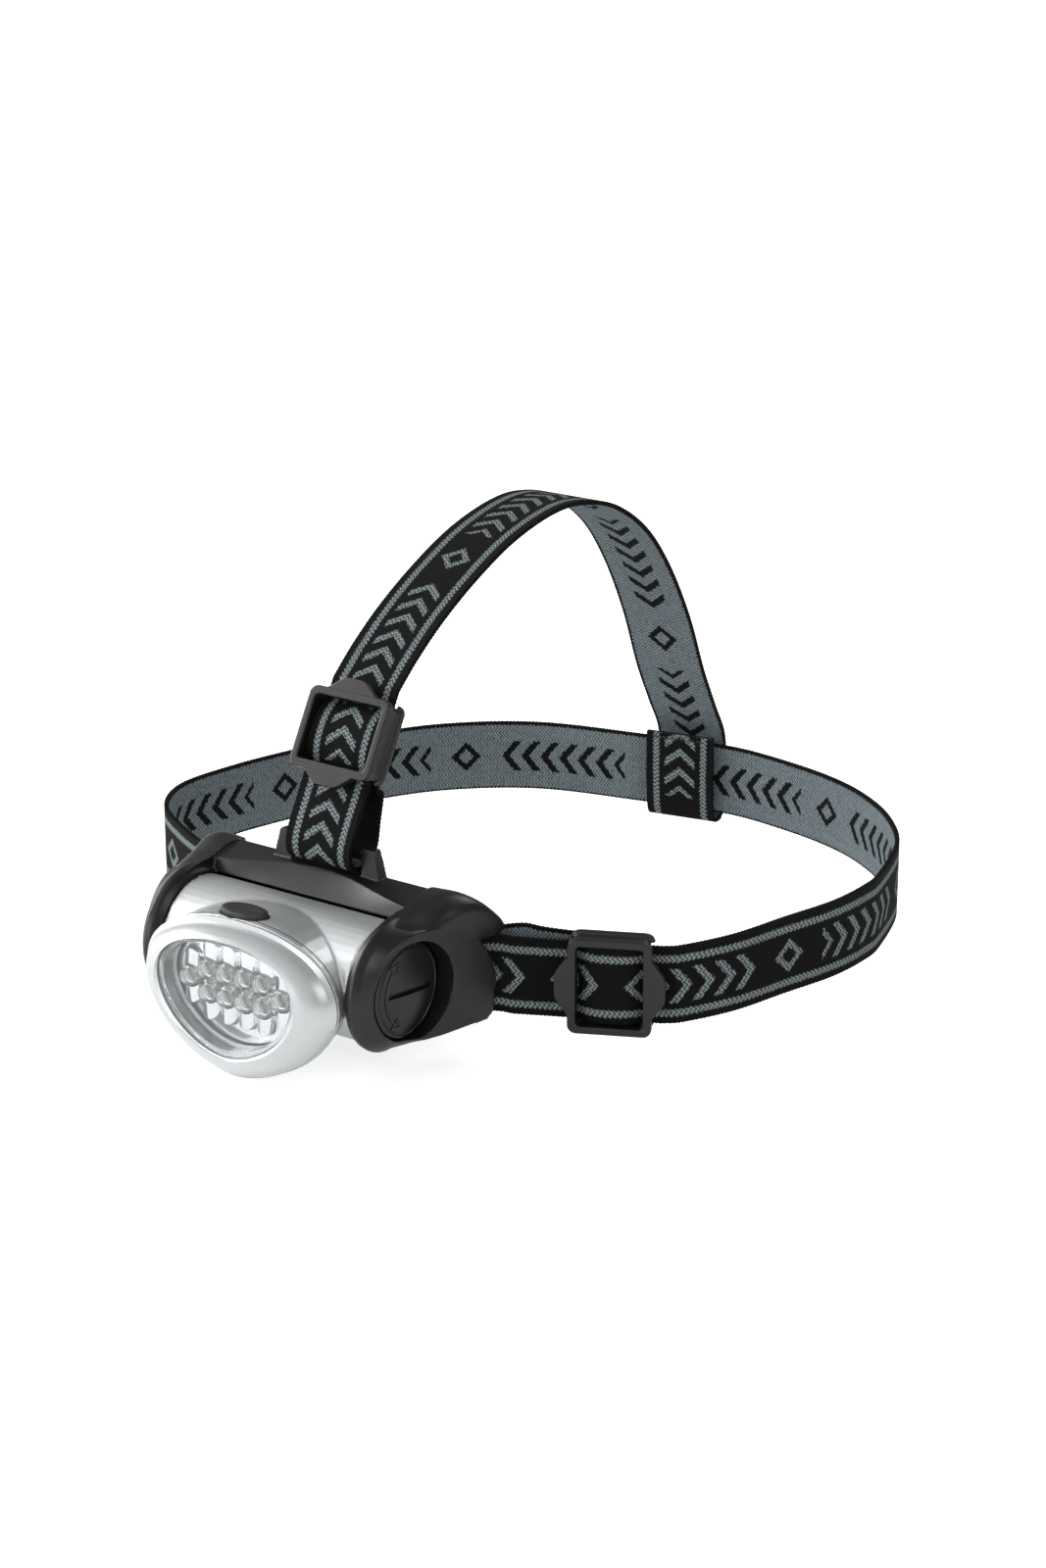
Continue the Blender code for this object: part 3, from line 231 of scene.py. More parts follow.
# Buckles
BUCKLE_HALF = (10.4, 12.4)  # along the strap and across it
BUCKLE_WINDOW = (8.3, 10.4)
BUCKLE_BACK, BUCKLE_FRONT = -2.5, 5.0
BUCKLE_FLANGES = (1.6, 2.0)  # thickness of the rear one and the front one
BUCKLE_STEP = 0.75  # how far the wall between them stands in
BUCKLE_CORNERS = (1.0, 2.2, 1.8)  # radii in the window, on the flanges and on the wall
BUCKLE_BAR = (1.7, 11.0)
BUCKLE_TAB = 3.9
TAB_HALF = 9.4
TAB_SLOPE = 7.2

# Studio, in metres from the tilt axis, and in watts
SOFTBOXES = (  # name, place, size, power
    ("key", (-1.0, -0.25, 0.5), (0.7, 0.6), 9.2),
    ("front", (-0.5, -1.2, 0.1), (1.2, 0.9), 6.0),
    ("side", (1.0, -0.15, 0.55), (0.5, 0.6), 2.5),
    ("rim", (0.1, 0.95, 0.85), (0.9, 0.4), 3.2),
)
SOFTBOX_AIM = Vector((0.0, 0.06, 0.03))
SKY_BRIGHT_SIDE = Vector((-0.62, -0.74, 0.2)).normalized()
CAMERA_AT = Vector((0.4929, -0.5904, 0.3130))
CAMERA_AZIMUTH, CAMERA_ELEVATION = math.radians(35.6), math.radians(19.26)
CAMERA_LENS, CAMERA_SENSOR = 77.32, 36.0


# Materials


class Nodes:
    """A node tree, built node by node. A value is a number, a colour or a socket."""

    def __init__(self, tree):
        self.tree = tree

    def put(self, socket, value):
        if isinstance(value, bpy.types.NodeSocket):
            self.tree.links.new(value, socket)
        else:
            socket.default_value = value

    def node(self, kind, inputs, **settings):
        made = self.tree.nodes.new("ShaderNode" + kind)
        for key, value in settings.items():
            setattr(made, key, value)
        for key, value in inputs.items():
            self.put(made.inputs[key], value)
        return made

    def math(self, operation, *values):
        return self.node("Math", dict(enumerate(values)), operation=operation).outputs[0]

    def times(self, first, second):
        return self.math("MULTIPLY", first, second)

    def plus(self, first, second):
        return self.math("ADD", first, second)

    def larger(self, first, second):
        return self.math("MAXIMUM", first, second)

    def size(self, value):
        return self.math("ABSOLUTE", value)

    def scaled(self, value, by, plus):
        return self.math("MULTIPLY_ADD", value, by, plus)

    def mix(self, share, first, second):
        return self.node("Mix", {0: share, 6: first, 7: second}, data_type="RGBA").outputs[2]

    def between(self, value, low, high, to_low=0.0, to_high=1.0, **settings):
        inputs = dict(enumerate((value, low, high, to_low, to_high)))
        return self.node("MapRange", inputs, **settings).outputs[0]

    def for_camera(self, seen, otherwise):
        """A value that is one thing to the camera's own rays and another to the rest."""
        is_seen = self.node("LightPath", {}).outputs["Is Camera Ray"]
        return self.between(is_seen, 0.0, 1.0, otherwise, seen)


class Look(Nodes):
    """One material. Its noises are laid out in the row's own space."""

    def __init__(self, name):
        self.material = bpy.data.materials.new(name)
        self.material.use_nodes = True
        super().__init__(self.material.node_tree)
        self.shader = self.tree.nodes["Principled BSDF"]
        self.place = self.node("TexCoord", {}).outputs["Object"]

    def axes(self, vector=None):
        """x, y and z of a vector, or of the place in the row."""
        return self.node("SeparateXYZ", {"Vector": vector or self.place}).outputs

    def noise(self, scale, detail=2.0):
        inputs = {"Vector": self.place, "Scale": scale, "Detail": detail}
        return self.node("TexNoise", inputs).outputs["Fac"]

    def uneven(self, scale, detail, low, high, start=0.3, end=0.7):
        """A roughness that wanders from low to high, over a stretch of the noise."""
        return self.between(self.noise(scale, detail), start, end, low, high)

    def wave(self, value, pitch):
        """A ripple from 0 to 1, once every pitch."""
        turn = self.times(value, 2 * math.pi / pitch)
        return self.scaled(self.math("SINE", turn), 0.5, 0.5)

    def band(self, value, low, high, soft=0.12):
        """1 where value lies between low and high, with soft edges."""
        rise = self.between(value, low - soft, low + soft)
        fall = self.between(value, high - soft, high + soft)
        return self.math("SUBTRACT", rise, fall)

    def bump(self, height, strength, distance, **under):
        inputs = {"Height": height, "Strength": strength, "Distance": distance * MM}
        return self.node("Bump", {**inputs, **under}).outputs[0]

    def grain(self, scale, detail, strength, distance):
        return self.bump(self.noise(scale, detail), strength, distance)

    def lets_light_through(self):
        """Shadow rays pass, so that what lies behind the clear surface is lit."""
        clear = self.node("BsdfTransparent", {}).outputs[0]
        is_shadow = self.node("LightPath", {}).outputs["Is Shadow Ray"]
        blend = self.node("MixShader", {0: is_shadow, 1: self.shader.outputs[0], 2: clear})
        self.put(self.tree.nodes["Material Output"].inputs["Surface"], blend.outputs[0])

    def shade(self, **values):
        for key, value in values.items():
            self.put(self.shader.inputs[key.replace("_", " ")], value)
        return self.material


def rgb(*values):
    """A linear colour from sRGB numbers of 0 to 255."""
    linear = [((v / 255 + 0.055) / 1.055) ** 2.4 if v > 10 else v / 3300 for v in values]
    return (*linear, 1.0)


def worn_and_highlit_edges(look, amount):
    """High where the surface is convex, broken up by noise: partly rubbed wear, partly a painted highlight along
    the edges.
    """
    edge = look.between(look.node("NewGeometry", {}).outputs["Pointiness"], 0.54, 0.63)
    patchy = look.between(look.noise(400.0, 4.0), 0.35, 0.7)
    return look.times(look.times(edge, patchy), amount)


def black_plastic():
    look = Look("black moulded plastic")
    tone = look.mix(look.noise(90.0), rgb(16, 17, 15), rgb(21, 22, 19))
    # The lighter convex edges are partly wear and partly a painted highlight.
    return look.shade(
        Base_Color=look.mix(worn_and_highlit_edges(look, 0.25), tone, rgb(66, 67, 63)),
        Roughness=look.uneven(260.0, 3.0, 0.31, 0.36),
        Specular_IOR_Level=0.5,
        Normal=look.grain(5200.0, 3.0, 0.3, 0.02),
    )


def silver_paint(name, groove_with_painted_shade):
    look = Look(name)
    flakes = look.node("TexVoronoi", {"Vector": look.place, "Scale": 7000.0}).outputs["Color"]
    grey = look.node("SeparateColor", {"Color": flakes}).outputs[0]
    sparkle = look.between(grey, 0.0, 1.0, 0.0, 0.5)
    colour = look.mix(sparkle, rgb(214, 217, 218), rgb(186, 189, 191))
    smear = look.between(look.noise(60.0, 3.0), 0.3, 0.7)
    colour = look.mix(look.times(smear, 0.2), colour, rgb(188, 191, 191))
    normal = look.grain(1400.0, 2.0, 0.05, 0.02)
    if groove_with_painted_shade:
        y = look.axes()[1]
        away = look.size(look.math("SUBTRACT", y, TILT_AXIS.y + GROOVE_AT * MM))
        outside = look.between(away, 0.12 * MM, 0.3 * MM)
        normal = look.bump(outside, 1.0, 0.25, Normal=normal)
        # Painted shade: the silver is darkened to grey within the groove.
        colour = look.mix(outside, rgb(120, 122, 122), colour)
    return look.shade(
        Base_Color=colour,
        Metallic=0.62,
        Roughness=look.uneven(300.0, 3.0, 0.31, 0.37),
        Coat_Weight=0.25,
        Coat_Roughness=0.2,
        Normal=normal,
    )


def clear(name, colour, transmission, ior, rough):
    look = Look(name)
    look.lets_light_through()
    look.shade(Base_Color=rgb(*colour), Roughness=look.uneven(*rough))
    look.shade(Transmission_Weight=transmission, IOR=ior)
    return look


def clear_plastic():
    look = clear("clear plastic", (250, 252, 253), 1.0, 1.49, (700.0, 4.0, 0.01, 0.05, 0.35, 0.75))
    return look.shade(Normal=look.grain(120.0, 2.0, 0.04, 0.2))


def led_resin():
    look = clear("clear resin", (206, 208, 205), 0.86, 1.5, (1500.0, 4.0, 0.06, 0.16, 0.3, 0.75))
    return look.material


def rubber():
    look = Look("rubber")
    dust = look.between(look.noise(500.0, 5.0), 0.45, 0.8)
    return look.shade(
        Base_Color=look.mix(dust, rgb(36, 37, 34), rgb(54, 55, 51)),
        Roughness=look.uneven(800.0, 3.0, 0.5, 0.68),
        Normal=look.grain(4000.0, 3.0, 0.4, 0.05),
    )


def mottled(name, tone, dark, light, rough, metallic=0.0, grain=None):
    """A look that wanders between two colours. tone is its noise; rough is one number or
    the arguments of uneven; grain is None or the arguments of Look.grain."""
    look = Look(name)
    if grain:
        look.shade(Normal=look.grain(*grain))
    return look.shade(
        Base_Color=look.mix(look.noise(*tone), rgb(*dark), rgb(*light)),
        Roughness=look.uneven(*rough) if isinstance(rough, tuple) else rough,
        Metallic=metallic,
    )


def circuit_board():
    look = Look("circuit board")
    x, _, z = look.axes()
    lines = look.math("SINE", look.times(look.plus(x, z), 4200.0))
    tracks = look.between(lines, 0.75, 0.85)
    return look.shade(
        Base_Color=look.mix(tracks, rgb(22, 92, 52), rgb(40, 128, 76)),
        Roughness=0.35,
        Normal=look.bump(tracks, 0.3, 0.05),
    )


def cell_sleeve():
    """A shrink sleeve with a darker band at one end and fine wrinkles."""
    look = Look("cell sleeve")
    band = look.math("GREATER_THAN", look.axes()[0], 0.008)
    return look.shade(
        Base_Color=look.mix(band, rgb(64, 88, 122), rgb(196, 200, 206)),
        Metallic=0.35,
        Roughness=look.uneven(600.0, 4.0, 0.22, 0.36),
        Normal=look.grain(600.0, 4.0, 0.2, 0.05),
    )


def pad_fabric():
    """A knitted spacer mesh: rows of small rounded holes over black foam."""
    look = Look("pad fabric")
    x, _, z = look.axes()
    pitch = 2 * math.pi / (1.3 * MM)
    rows = look.math("SINE", look.times(z, pitch))
    shift = look.times(look.math("SIGN", rows), math.pi / 2)
    columns = look.math("SINE", look.plus(look.times(x, pitch / 2), shift))
    knit = look.times(look.size(rows), look.size(columns))
    fuzz = look.times(look.noise(3500.0, 4.0), 0.4)
    return look.shade(
        Base_Color=look.mix(knit, rgb(22, 22, 23), rgb(56, 56, 58)),
        Roughness=0.92,
        Sheen_Weight=0.4,
        Sheen_Roughness=0.5,
        Normal=look.bump(look.plus(knit, fuzz), 0.8, 0.25),
    )


YARN_DARK = rgb(11, 11, 10)
YARN_BLACK = rgb(22, 22, 20)
YARN_GREY = rgb(56, 62, 63)
YARN_LIGHT = rgb(140, 150, 153)
YARN_SHADE = rgb(54, 61, 64)
YARN_PALE = rgb(136, 147, 152)


def motif_mask(look, u, v):
    """Rows of chevrons in groups, with a diamond in each gap: a plain woven motif."""
    across = look.size(u)
    group = look.math("MODULO", look.plus(v, 6000.0), 58.0)
    slope = look.scaled(across, 0.8, group)
    stroke = look.band(look.math("MODULO", slope, 5.6), 1.2, 3.5)
    chevrons = look.times(stroke, look.band(slope, 2.0, 39.0))
    middle = look.size(look.math("SUBTRACT", group, 47.5))
    diamond = look.band(look.plus(middle, across), 2.3, 4.4)
    either = look.larger(chevrons, diamond)
    return look.times(either, look.band(across, -1.0, 4.5))


def webbing(name, inner, plain=False):
    """Woven elastic. Outside it is black with two grey stripes and a grey motif; inside
    it is a grey twill with black edges and a black motif. Plain, it is black alone.
    u and v are millimetres across the strap and along it."""
    look = Look(name)
    u, v, _ = look.axes(look.node("UVMap", {}, uv_map="weave").outputs["UV"])
    jitter = look.uneven(2400.0, 2.0, -0.18, 0.18)
    u_ragged = look.plus(u, look.scaled(look.wave(v, 1.25), 0.3, jitter))
    across = look.size(u_ragged)
    ribs = look.wave(v, 0.55)
    pick = look.times(ribs, look.wave(u, 0.62))
    fuzz = look.noise(6500.0, 3.0)
    slub = look.noise(1100.0, 4.0)
    selvage = look.band(across, 9.35, 12.0)
    motif = motif_mask(look, u_ragged, look.plus(v, jitter))
    if inner:
        weft = look.math("PINGPONG", u, 1.7)
        twill = look.wave(look.scaled(weft, 0.9, v), 0.95)
        yarn = look.scaled(slub, 0.8, look.times(twill, 0.75))
        ground = look.mix(look.between(yarn, 0.35, 0.95), YARN_SHADE, YARN_PALE)
        colour = look.mix(look.larger(selvage, motif), ground, YARN_DARK)
        height = look.scaled(twill, 0.9, pick)
    else:
        column = look.math("PINGPONG", look.plus(u, 7.1), 0.85)
        herring = look.wave(look.scaled(column, 1.15, v), 1.2)
        grey = 0.0 if plain else look.larger(look.band(across, 6.2, 8.0), motif)
        black = look.mix(look.times(pick, 0.6), YARN_DARK, YARN_BLACK)
        yarn = look.scaled(slub, 0.5, look.times(herring, 0.8))
        light = look.mix(look.between(yarn, 0.3, 0.85), YARN_GREY, YARN_LIGHT)
        colour = look.mix(grey, black, light)
        raised = look.times(grey, look.scaled(herring, 1.1, 0.4))
        height = look.scaled(pick, 0.5, raised)
    height = look.scaled(look.times(selvage, ribs), 1.2, height)
    height = look.scaled(fuzz, 0.35, height)
    return look.shade(
        Base_Color=look.mix(look.between(fuzz, 0.35, 0.75, 0.0, 0.22), colour, YARN_DARK),
        Roughness=0.9,
        Specular_IOR_Level=0.15,
        Normal=look.bump(height, 0.8, 0.18),
    )


def floor_look():
    """Pale and matt, and lit a little from within so that it reads as white."""
    look = Look("pale floor")
    return look.shade(
        Base_Color=look.mix(look.noise(3.0), rgb(246, 246, 246), rgb(250, 250, 250)),
        Roughness=0.8,
        Emission_Color=(1.0, 1.0, 1.0, 1.0),
        Emission_Strength=look.for_camera(0.66, 0.15),
    )


CHROME = ((1500.0, 3.0), (232, 233, 236), (246, 247, 248), (500.0, 2.0, 0.06, 0.13), 1.0)
STEEL = ((2600.0, 4.0), (178, 178, 176), (206, 206, 204), (2600.0, 4.0, 0.2, 0.36), 1.0)
BRASS = ((700.0, 4.0), (196, 158, 84), (222, 188, 112), (1800.0, 3.0, 0.22, 0.38), 1.0)
PHOSPHOR = ((4000.0,), (186, 184, 166), (204, 202, 188), 0.6)
PALE_SILICONE = ((300.0,), (226, 228, 228), (238, 240, 240), (900.0, 3.0, 0.3, 0.42))
CARRIER = ((200.0,), (48, 48, 50), (60, 60, 62), (900.0, 3.0, 0.4, 0.55), 0.0)
RED_WIRE = ((1500.0,), (150, 18, 18), (182, 32, 28), (2500.0, 2.0, 0.3, 0.45))
BLACK_WIRE = ((1500.0,), (22, 22, 22), (40, 40, 40), (2500.0, 2.0, 0.3, 0.45))
THREAD = ((5000.0, 3.0), (26, 26, 26), (52, 52, 52), 0.8, 0.0)
LOOKS = {
    "black_plastic": black_plastic(),
    "silver_paint": silver_paint("silver paint", groove_with_painted_shade=False),
    "silver_groove_painted_shade": silver_paint("silver paint with a groove and painted shade", groove_with_painted_shade=True),
    "chrome": mottled("bright metallising", *CHROME),
    "clear_plastic": clear_plastic(),
    "led_resin": led_resin(),
    "phosphor": mottled("phosphor", *PHOSPHOR),
    "rubber": rubber(),
    "pale_silicone": mottled("pale silicone", *PALE_SILICONE),
    "steel": mottled("plated steel", *STEEL),
    "brass": mottled("brass", *BRASS),
    "circuit_board": circuit_board(),
    "cell_sleeve": cell_sleeve(),
    "carrier_plastic": mottled("carrier plastic", *CARRIER, grain=(5000.0, 2.0, 0.3, 0.03)),
    "red_wire": mottled("red wire", *RED_WIRE),
    "black_wire": mottled("black wire", *BLACK_WIRE),
    "foam": pad_fabric(),
    "webbing_outside": webbing("webbing outside", inner=False),
    "webbing_inside": webbing("webbing inside", inner=True),
    "webbing_plain": webbing("webbing plain", inner=False, plain=True),
    "thread": mottled("sewing thread", *THREAD, grain=(5000.0, 3.0, 0.5, 0.05)),
}


# Shapes


def object_from(name, bm, place=TO_ROW):
    bmesh.ops.recalc_face_normals(bm, faces=bm.faces)
    mesh = bpy.data.meshes.new(name)
    bm.to_mesh(mesh)
    bm.free()
    mesh.transform(place)
    obj = bpy.data.objects.new(name, mesh)
    bpy.context.scene.collection.objects.link(obj)
    return obj


def shaded(obj, angle=35):
    obj.data.shade_smooth()
    obj.data.set_sharp_from_angle(angle=math.radians(angle))
    return obj


def piece(obj, body, slot, nodes=(), look=None):
    """Dresses an object, hangs it on its body, and hides the CAD nodes that it stands for. It
    gets its slot's look unless another is named. A strap keeps the looks that it has."""
    look = look or slot
    if look in LOOKS:
        obj.data.materials.clear()
        obj.data.materials.append(LOOKS[look])
    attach(obj, body)
    if nodes:
        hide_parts(*nodes)


def applied(obj):
    """The object with its modifiers made part of its mesh."""
    graph = bpy.context.evaluated_depsgraph_get()
    mesh = bpy.data.meshes.new_from_object(obj.evaluated_get(graph))
    obj.modifiers.clear()
    obj.data = mesh
    return obj


def cut(obj, other):
    """Cuts another object's shape out at once, and removes it."""
    step = obj.modifiers.new("cut", "BOOLEAN")
    step.operation = "DIFFERENCE"
    step.object = other
    bpy.context.view_layer.update()
    applied(obj)
    bpy.data.objects.remove(other, do_unlink=True)


def relaxed(mesh, rounds):
    """Smooths a mesh without shrinking it, by passes that pull in and then push out."""
    count = len(mesh.vertices)
    points = np.empty(count * 3)
    mesh.vertices.foreach_get("co", points)
    points = points.reshape(-1, 3)
    ends = np.empty(len(mesh.edges) * 2, dtype=np.int64)
    mesh.edges.foreach_get("vertices", ends)
    first, second = ends.reshape(-1, 2).T
    degree = np.bincount(first, minlength=count) + np.bincount(second, minlength=count)
    degree = np.maximum(degree, 1)
    for _ in range(rounds):
        for share in (0.5, -0.52):
            around = np.empty_like(points)
            for axis in range(3):
                column = points[:, axis]
                around[:, axis] = np.bincount(first, column[second], count)
                around[:, axis] += np.bincount(second, column[first], count)
            points += share * (around / degree[:, None] - points)
    mesh.vertices.foreach_set("co", points.ravel())
    mesh.update()


def moulded(obj, voxel, rounds):
    """Turns a shape with sharp edges into one skin with moulded, rounded ones."""
    bm = bmesh.new()
    bm.from_mesh(obj.data)
    bmesh.ops.remove_doubles(bm, verts=bm.verts, dist=0.001 * MM)
    bm.to_mesh(obj.data)
    bm.free()
    step = obj.modifiers.new("skin", "REMESH")
    step.mode = "VOXEL"
    step.voxel_size = voxel * MM
    bpy.context.view_layer.update()
    applied(obj)
    relaxed(obj.data, rounds)
    obj.data.shade_smooth()
    return obj


def copy_of(node, name):
    """A new object with a copy of a CAD node's mesh."""
    obj = bpy.data.objects.new(name, frame["nodes"][node].data.copy())
    bpy.context.scene.collection.objects.link(obj)
    return obj


def absorbed(obj, others):
    """Adds the others' meshes to obj as they are; moulded then makes them one skin."""
    bm = bmesh.new()
    bm.from_mesh(obj.data)
    for other in others:
        bm.from_mesh(other.data)
        bpy.data.objects.remove(other, do_unlink=True)
    bm.to_mesh(obj.data)
    bm.free()
    return obj


def placed(at, degrees, axis):
    """Turns a shape about an axis, moves it to a point, and takes it into the row's frame."""
    return TO_ROW @ Matrix.Translation(at) @ Matrix.Rotation(math.radians(degrees), 4, axis)


def box_of(node):
    """Opposite corners of a CAD node's box, in the design's millimetres."""
    return [(corner - TILT_AXIS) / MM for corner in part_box(node)]


def on_circle(radius, degrees, middle=(0.0, 0.0)):
    angle = math.radians(degrees)
    return middle[0] + radius * math.cos(angle), middle[1] + radius * math.sin(angle)


def loft(name, rings, wrap=False, place=TO_ROW):
    """A closed skin over rings of points. Wrapped, the last ring joins the first one. A
    ring whose points are all in one place is a pole."""
    bm = bmesh.new()
    rows = []
    for ring in rings:
        points = ring if tuple(ring[0]) != tuple(ring[1]) else ring[:1]
        row = [bm.verts.new(point) for point in points]
        rows.append(row * (len(ring) // len(row)))
    for lower, upper in zip(rows, [*rows[1:], rows[0]] if wrap else rows[1:]):
        for i in range(len(lower)):
            j = (i + 1) % len(lower)
            # Beside a pole two of the four corners are one.
            corners = dict.fromkeys((lower[i], lower[j], upper[j], upper[i]))
            bm.faces.new(list(corners))
    ends = [] if wrap else [rows[0][::-1], rows[-1]]
    for row in ends:
        if row[0] != row[1]:
            bm.faces.new(row)
    return object_from(name, bm, place)


def prism(name, outline, bottom, top, place=TO_ROW):
    rings = [[(x, y, z) for x, y in outline] for z in (bottom, top)]
    return loft(name, rings, place=place)


def rod(name, radius, low, high, middle):
    return prism(name, [on_circle(radius, 360 * i / 32, middle) for i in range(32)], low, high)


def box(name, low, high, place=TO_ROW):
    bm = bmesh.new()
    bmesh.ops.create_cube(bm, size=1.0)
    low, high = Vector(low), Vector(high)
    bmesh.ops.scale(bm, vec=high - low, verts=bm.verts)
    bmesh.ops.translate(bm, vec=(low + high) / 2, verts=bm.verts)
    return object_from(name, bm, place)


def turned(name, profile, steps, place):
    """A closed shape from a profile of (radius, height), turned about its z axis."""
    turns = [360 * i / steps for i in range(steps)]
    rings = [[(*on_circle(radius, turn), height) for turn in turns] for radius, height in profile]
    return loft(name, rings, place=place)


def smooth_path(points, step=0.0, count=0):
    """A Catmull-Rom curve through points of two or more numbers, in steps of about the
    length given, or with that count of steps from each point to the next."""
    points = [Vector(point) for point in points]
    ends = [points[0] * 2 - points[1], *points, points[-1] * 2 - points[-2]]
    path = []
    for before, start, end, after in zip(ends, ends[1:], ends[2:], ends[3:]):
        steps = count or max(1, math.ceil((end - start).length / step))
        for t in np.arange(steps) / steps:
            square = (2 * before - 5 * start + 4 * end - after) * t**2
            cube = (3 * start - before - 3 * end + after) * t**3
            path.append(0.5 * (2 * start + (end - before) * t + square + cube))
    return [*path, points[-1]]


def evenly(path, count=None):
    """The same line with its points an even step apart. Extra numbers go along."""
    values = np.array([list(point) for point in path])
    lengths = np.linalg.norm(np.diff(values[:, :3], axis=0), axis=1)
    places = np.concatenate([[0.0], np.cumsum(lengths)])
    count = count or int(places[-1] / STRAP_STEP)  # by default, a strap's rows
    wanted = np.linspace(0.0, places[-1], count + 1)
    columns = [np.interp(wanted, places, column) for column in values.T]
    return [Vector(row) for row in np.array(columns).T]


def eye(half_width, top, bottom, middle, powers):
    """An eye-shaped outline: half a superellipse above the middle height, half below."""
    points = []
    for i in range(AROUND):
        c, s = on_circle(1.0, 360 * i / AROUND)
        power = powers[0] if s >= 0 else powers[1]
        reach = top - middle if s >= 0 else middle - bottom
        x = half_width * math.copysign(abs(c) ** (2 / power), c)
        z = middle + reach * math.copysign(abs(s) ** (2 / power), s)
        points.append((x, z))
    return points


def nose_ring(section, inset=0.0):
    y, half_width, top, bottom, lean = section
    outline = eye(half_width - inset, top - inset, bottom + inset, NOSE_MIDDLE, NOSE_POWERS)
    return [(x, y + lean * z, z) for x, z in outline]


def opening_ring(y, inset=0.0, scale=1.0):
    _, half_width, top, bottom = OPENING
    sizes = [size * scale for size in (half_width - inset, top - inset, bottom + inset)]
    outline = eye(*sizes, 0.0, OPENING_POWERS)
    return [(x, y + OPENING_LEAN * z, z) for x, z in outline]


# Straps


def strap(name, path, sides, nodes, body="bracket", phase=0.0, plain_until=0.0):
    """Webbing along a path: two faces, rounded ribbed edges, and its own coordinates."""
    lengths = [0.0]
    for first, second in zip(path, path[1:]):
        lengths.append(lengths[-1] + (second - first).length)
    across = [-1 + 2 * i / STRAP_COLUMNS for i in range(STRAP_COLUMNS + 1)]
    profile = [(share, 0.5) for share in across] + [(STRAP_EDGE, 0.0)]
    profile += [(-share, -0.5) for share in across] + [(-STRAP_EDGE, 0.0)]
    bm = bmesh.new()
    uv = bm.loops.layers.uv.new("weave")
    rows = []
    for i, (point, side) in enumerate(zip(path, sides)):
        tangent = (path[min(i + 1, len(path) - 1)] - path[max(i - 1, 0)]).normalized()
        outward = tangent.cross(side).normalized()
        rib = RIB_DEPTH * math.sin(2 * math.pi * lengths[i] / RIB_PITCH)
        row = []
        for share, height in profile:
            half = STRAP_WIDTH / 2 + (rib if abs(share) > 0.98 else 0.0)
            place = point + side * half * share + outward * STRAP_THICK * height
            row.append((bm.verts.new(place), half * share, lengths[i] + phase))
        rows.append(row)
    columns = len(profile)
    for first, second in zip(rows, rows[1:]):
        for i in range(columns):
            j = (i + 1) % columns
            corners = (first[i], first[j], second[j], second[i])
            face = bm.faces.new([corner[0] for corner in corners])
            is_back = STRAP_COLUMNS + 2 <= i < 2 * STRAP_COLUMNS + 2
            is_plain = first[0][2] < plain_until
            face.material_index = (2 if is_plain else 1) if is_back else 0
            for loop, corner in zip(face.loops, corners):
                loop[uv].uv = corner[1:]
    for row in (rows[0][::-1], rows[-1]):
        bm.faces.new([corner[0] for corner in row])
    obj = shaded(object_from(name, bm), 50)
    for look in ("webbing_outside", "webbing_inside", "webbing_plain"):
        obj.data.materials.append(LOOKS[look])
    piece(obj, body, "webbing", nodes)


def headband():
    """From its tail through the right-hand slot, round the head, and into the left one."""
    outside = SLOT_MIDDLE - 0.1
    tail_bend = SIDE.at(SIDE_TAIL_FROM, DOUBLED) + Vector((0.0, 0.0, 1.5))
    rises = (1.9, 0.9, 0.1, 0.0)  # the tail comes down to the height of the slot
    right = [SIDE.at(SIDE.buckle_at + TAIL_PAST, DOUBLED), tail_bend]
    right += [(x, y, SLOT_MIDDLE + rise) for (x, y), rise in zip(SLOT_INNER[3::-1], rises)]
    right += [(x, y, SLOT_MIDDLE) for x, y in SLOT_WRAP[::-1]]
    right += [(x, y, outside) for x, y in SLOT_OUTER[::-1]]
    left = [(-x, y, outside) for x, y in SLOT_OUTER]
    left += [(-x, y, SLOT_MIDDLE) for x, y in SLOT_WRAP + SLOT_INNER]
    path = smooth_path([*right, SIDE.at(0.0)], STRAP_STEP)
    path += smooth_path([SIDE.at(SIDE.length), *HEADBAND_LOOP], STRAP_STEP)
    path += smooth_path([HEADBAND_LOOP[-1], *left], STRAP_STEP)[1:]
    path = evenly(path)
    strap("headband_webbing", path, [Vector((0.0, 0.0, 1.0))] * len(path), ["headband"])


def top_strap():
    """From its tail through the lug, over the head, and round the headband."""
    front = [TOP.at(TOP.buckle_at + TAIL_PAST, DOUBLED), TOP.at(TOP_TAIL_FROM, DOUBLED)]
    front += [(0.0, y, z) for y, z in (LUG_LOOP + LUG_LOOP_BACK)[::-1]]
    line = [(*point, 0.0) for point in smooth_path([*front, TOP.at(0.0)], STRAP_STEP)]
    line += smooth_path([(*TOP.at(TOP.length), 0.0), *TOP_LOOP], STRAP_STEP)
    path, sides = [], []
    for x, y, z, twist in evenly(line):
        path.append(Vector((x, y, z)))
        sides.append(Vector((*on_circle(-1.0, twist), 0.0)))
    strap("top_strap_webbing", path, sides, ["top_strap"], plain_until=TOP_TAIL_PLAIN)


def stitches(name, lines):
    """Rows of thread: each line is (middle, half, outward), half being half its length."""
    length, pitch, radius = 1.9, 2.6, 0.22
    shape = Matrix.Diagonal((length / 2, radius, radius, 1.0))
    bm = bmesh.new()
    for middle, half, outward in lines:
        along = half.normalized()
        turn = Matrix((along, outward, along.cross(outward))).transposed().to_4x4()
        for i in range(int(2 * half.length / pitch)):
            at = middle - half + along * pitch * (i + 0.5)
            place = Matrix.Translation(at) @ turn @ shape
            bmesh.ops.create_uvsphere(bm, u_segments=8, v_segments=6, radius=1.0, matrix=place)
    piece(shaded(object_from(name, bm), 60), "bracket", "webbing", look="thread")


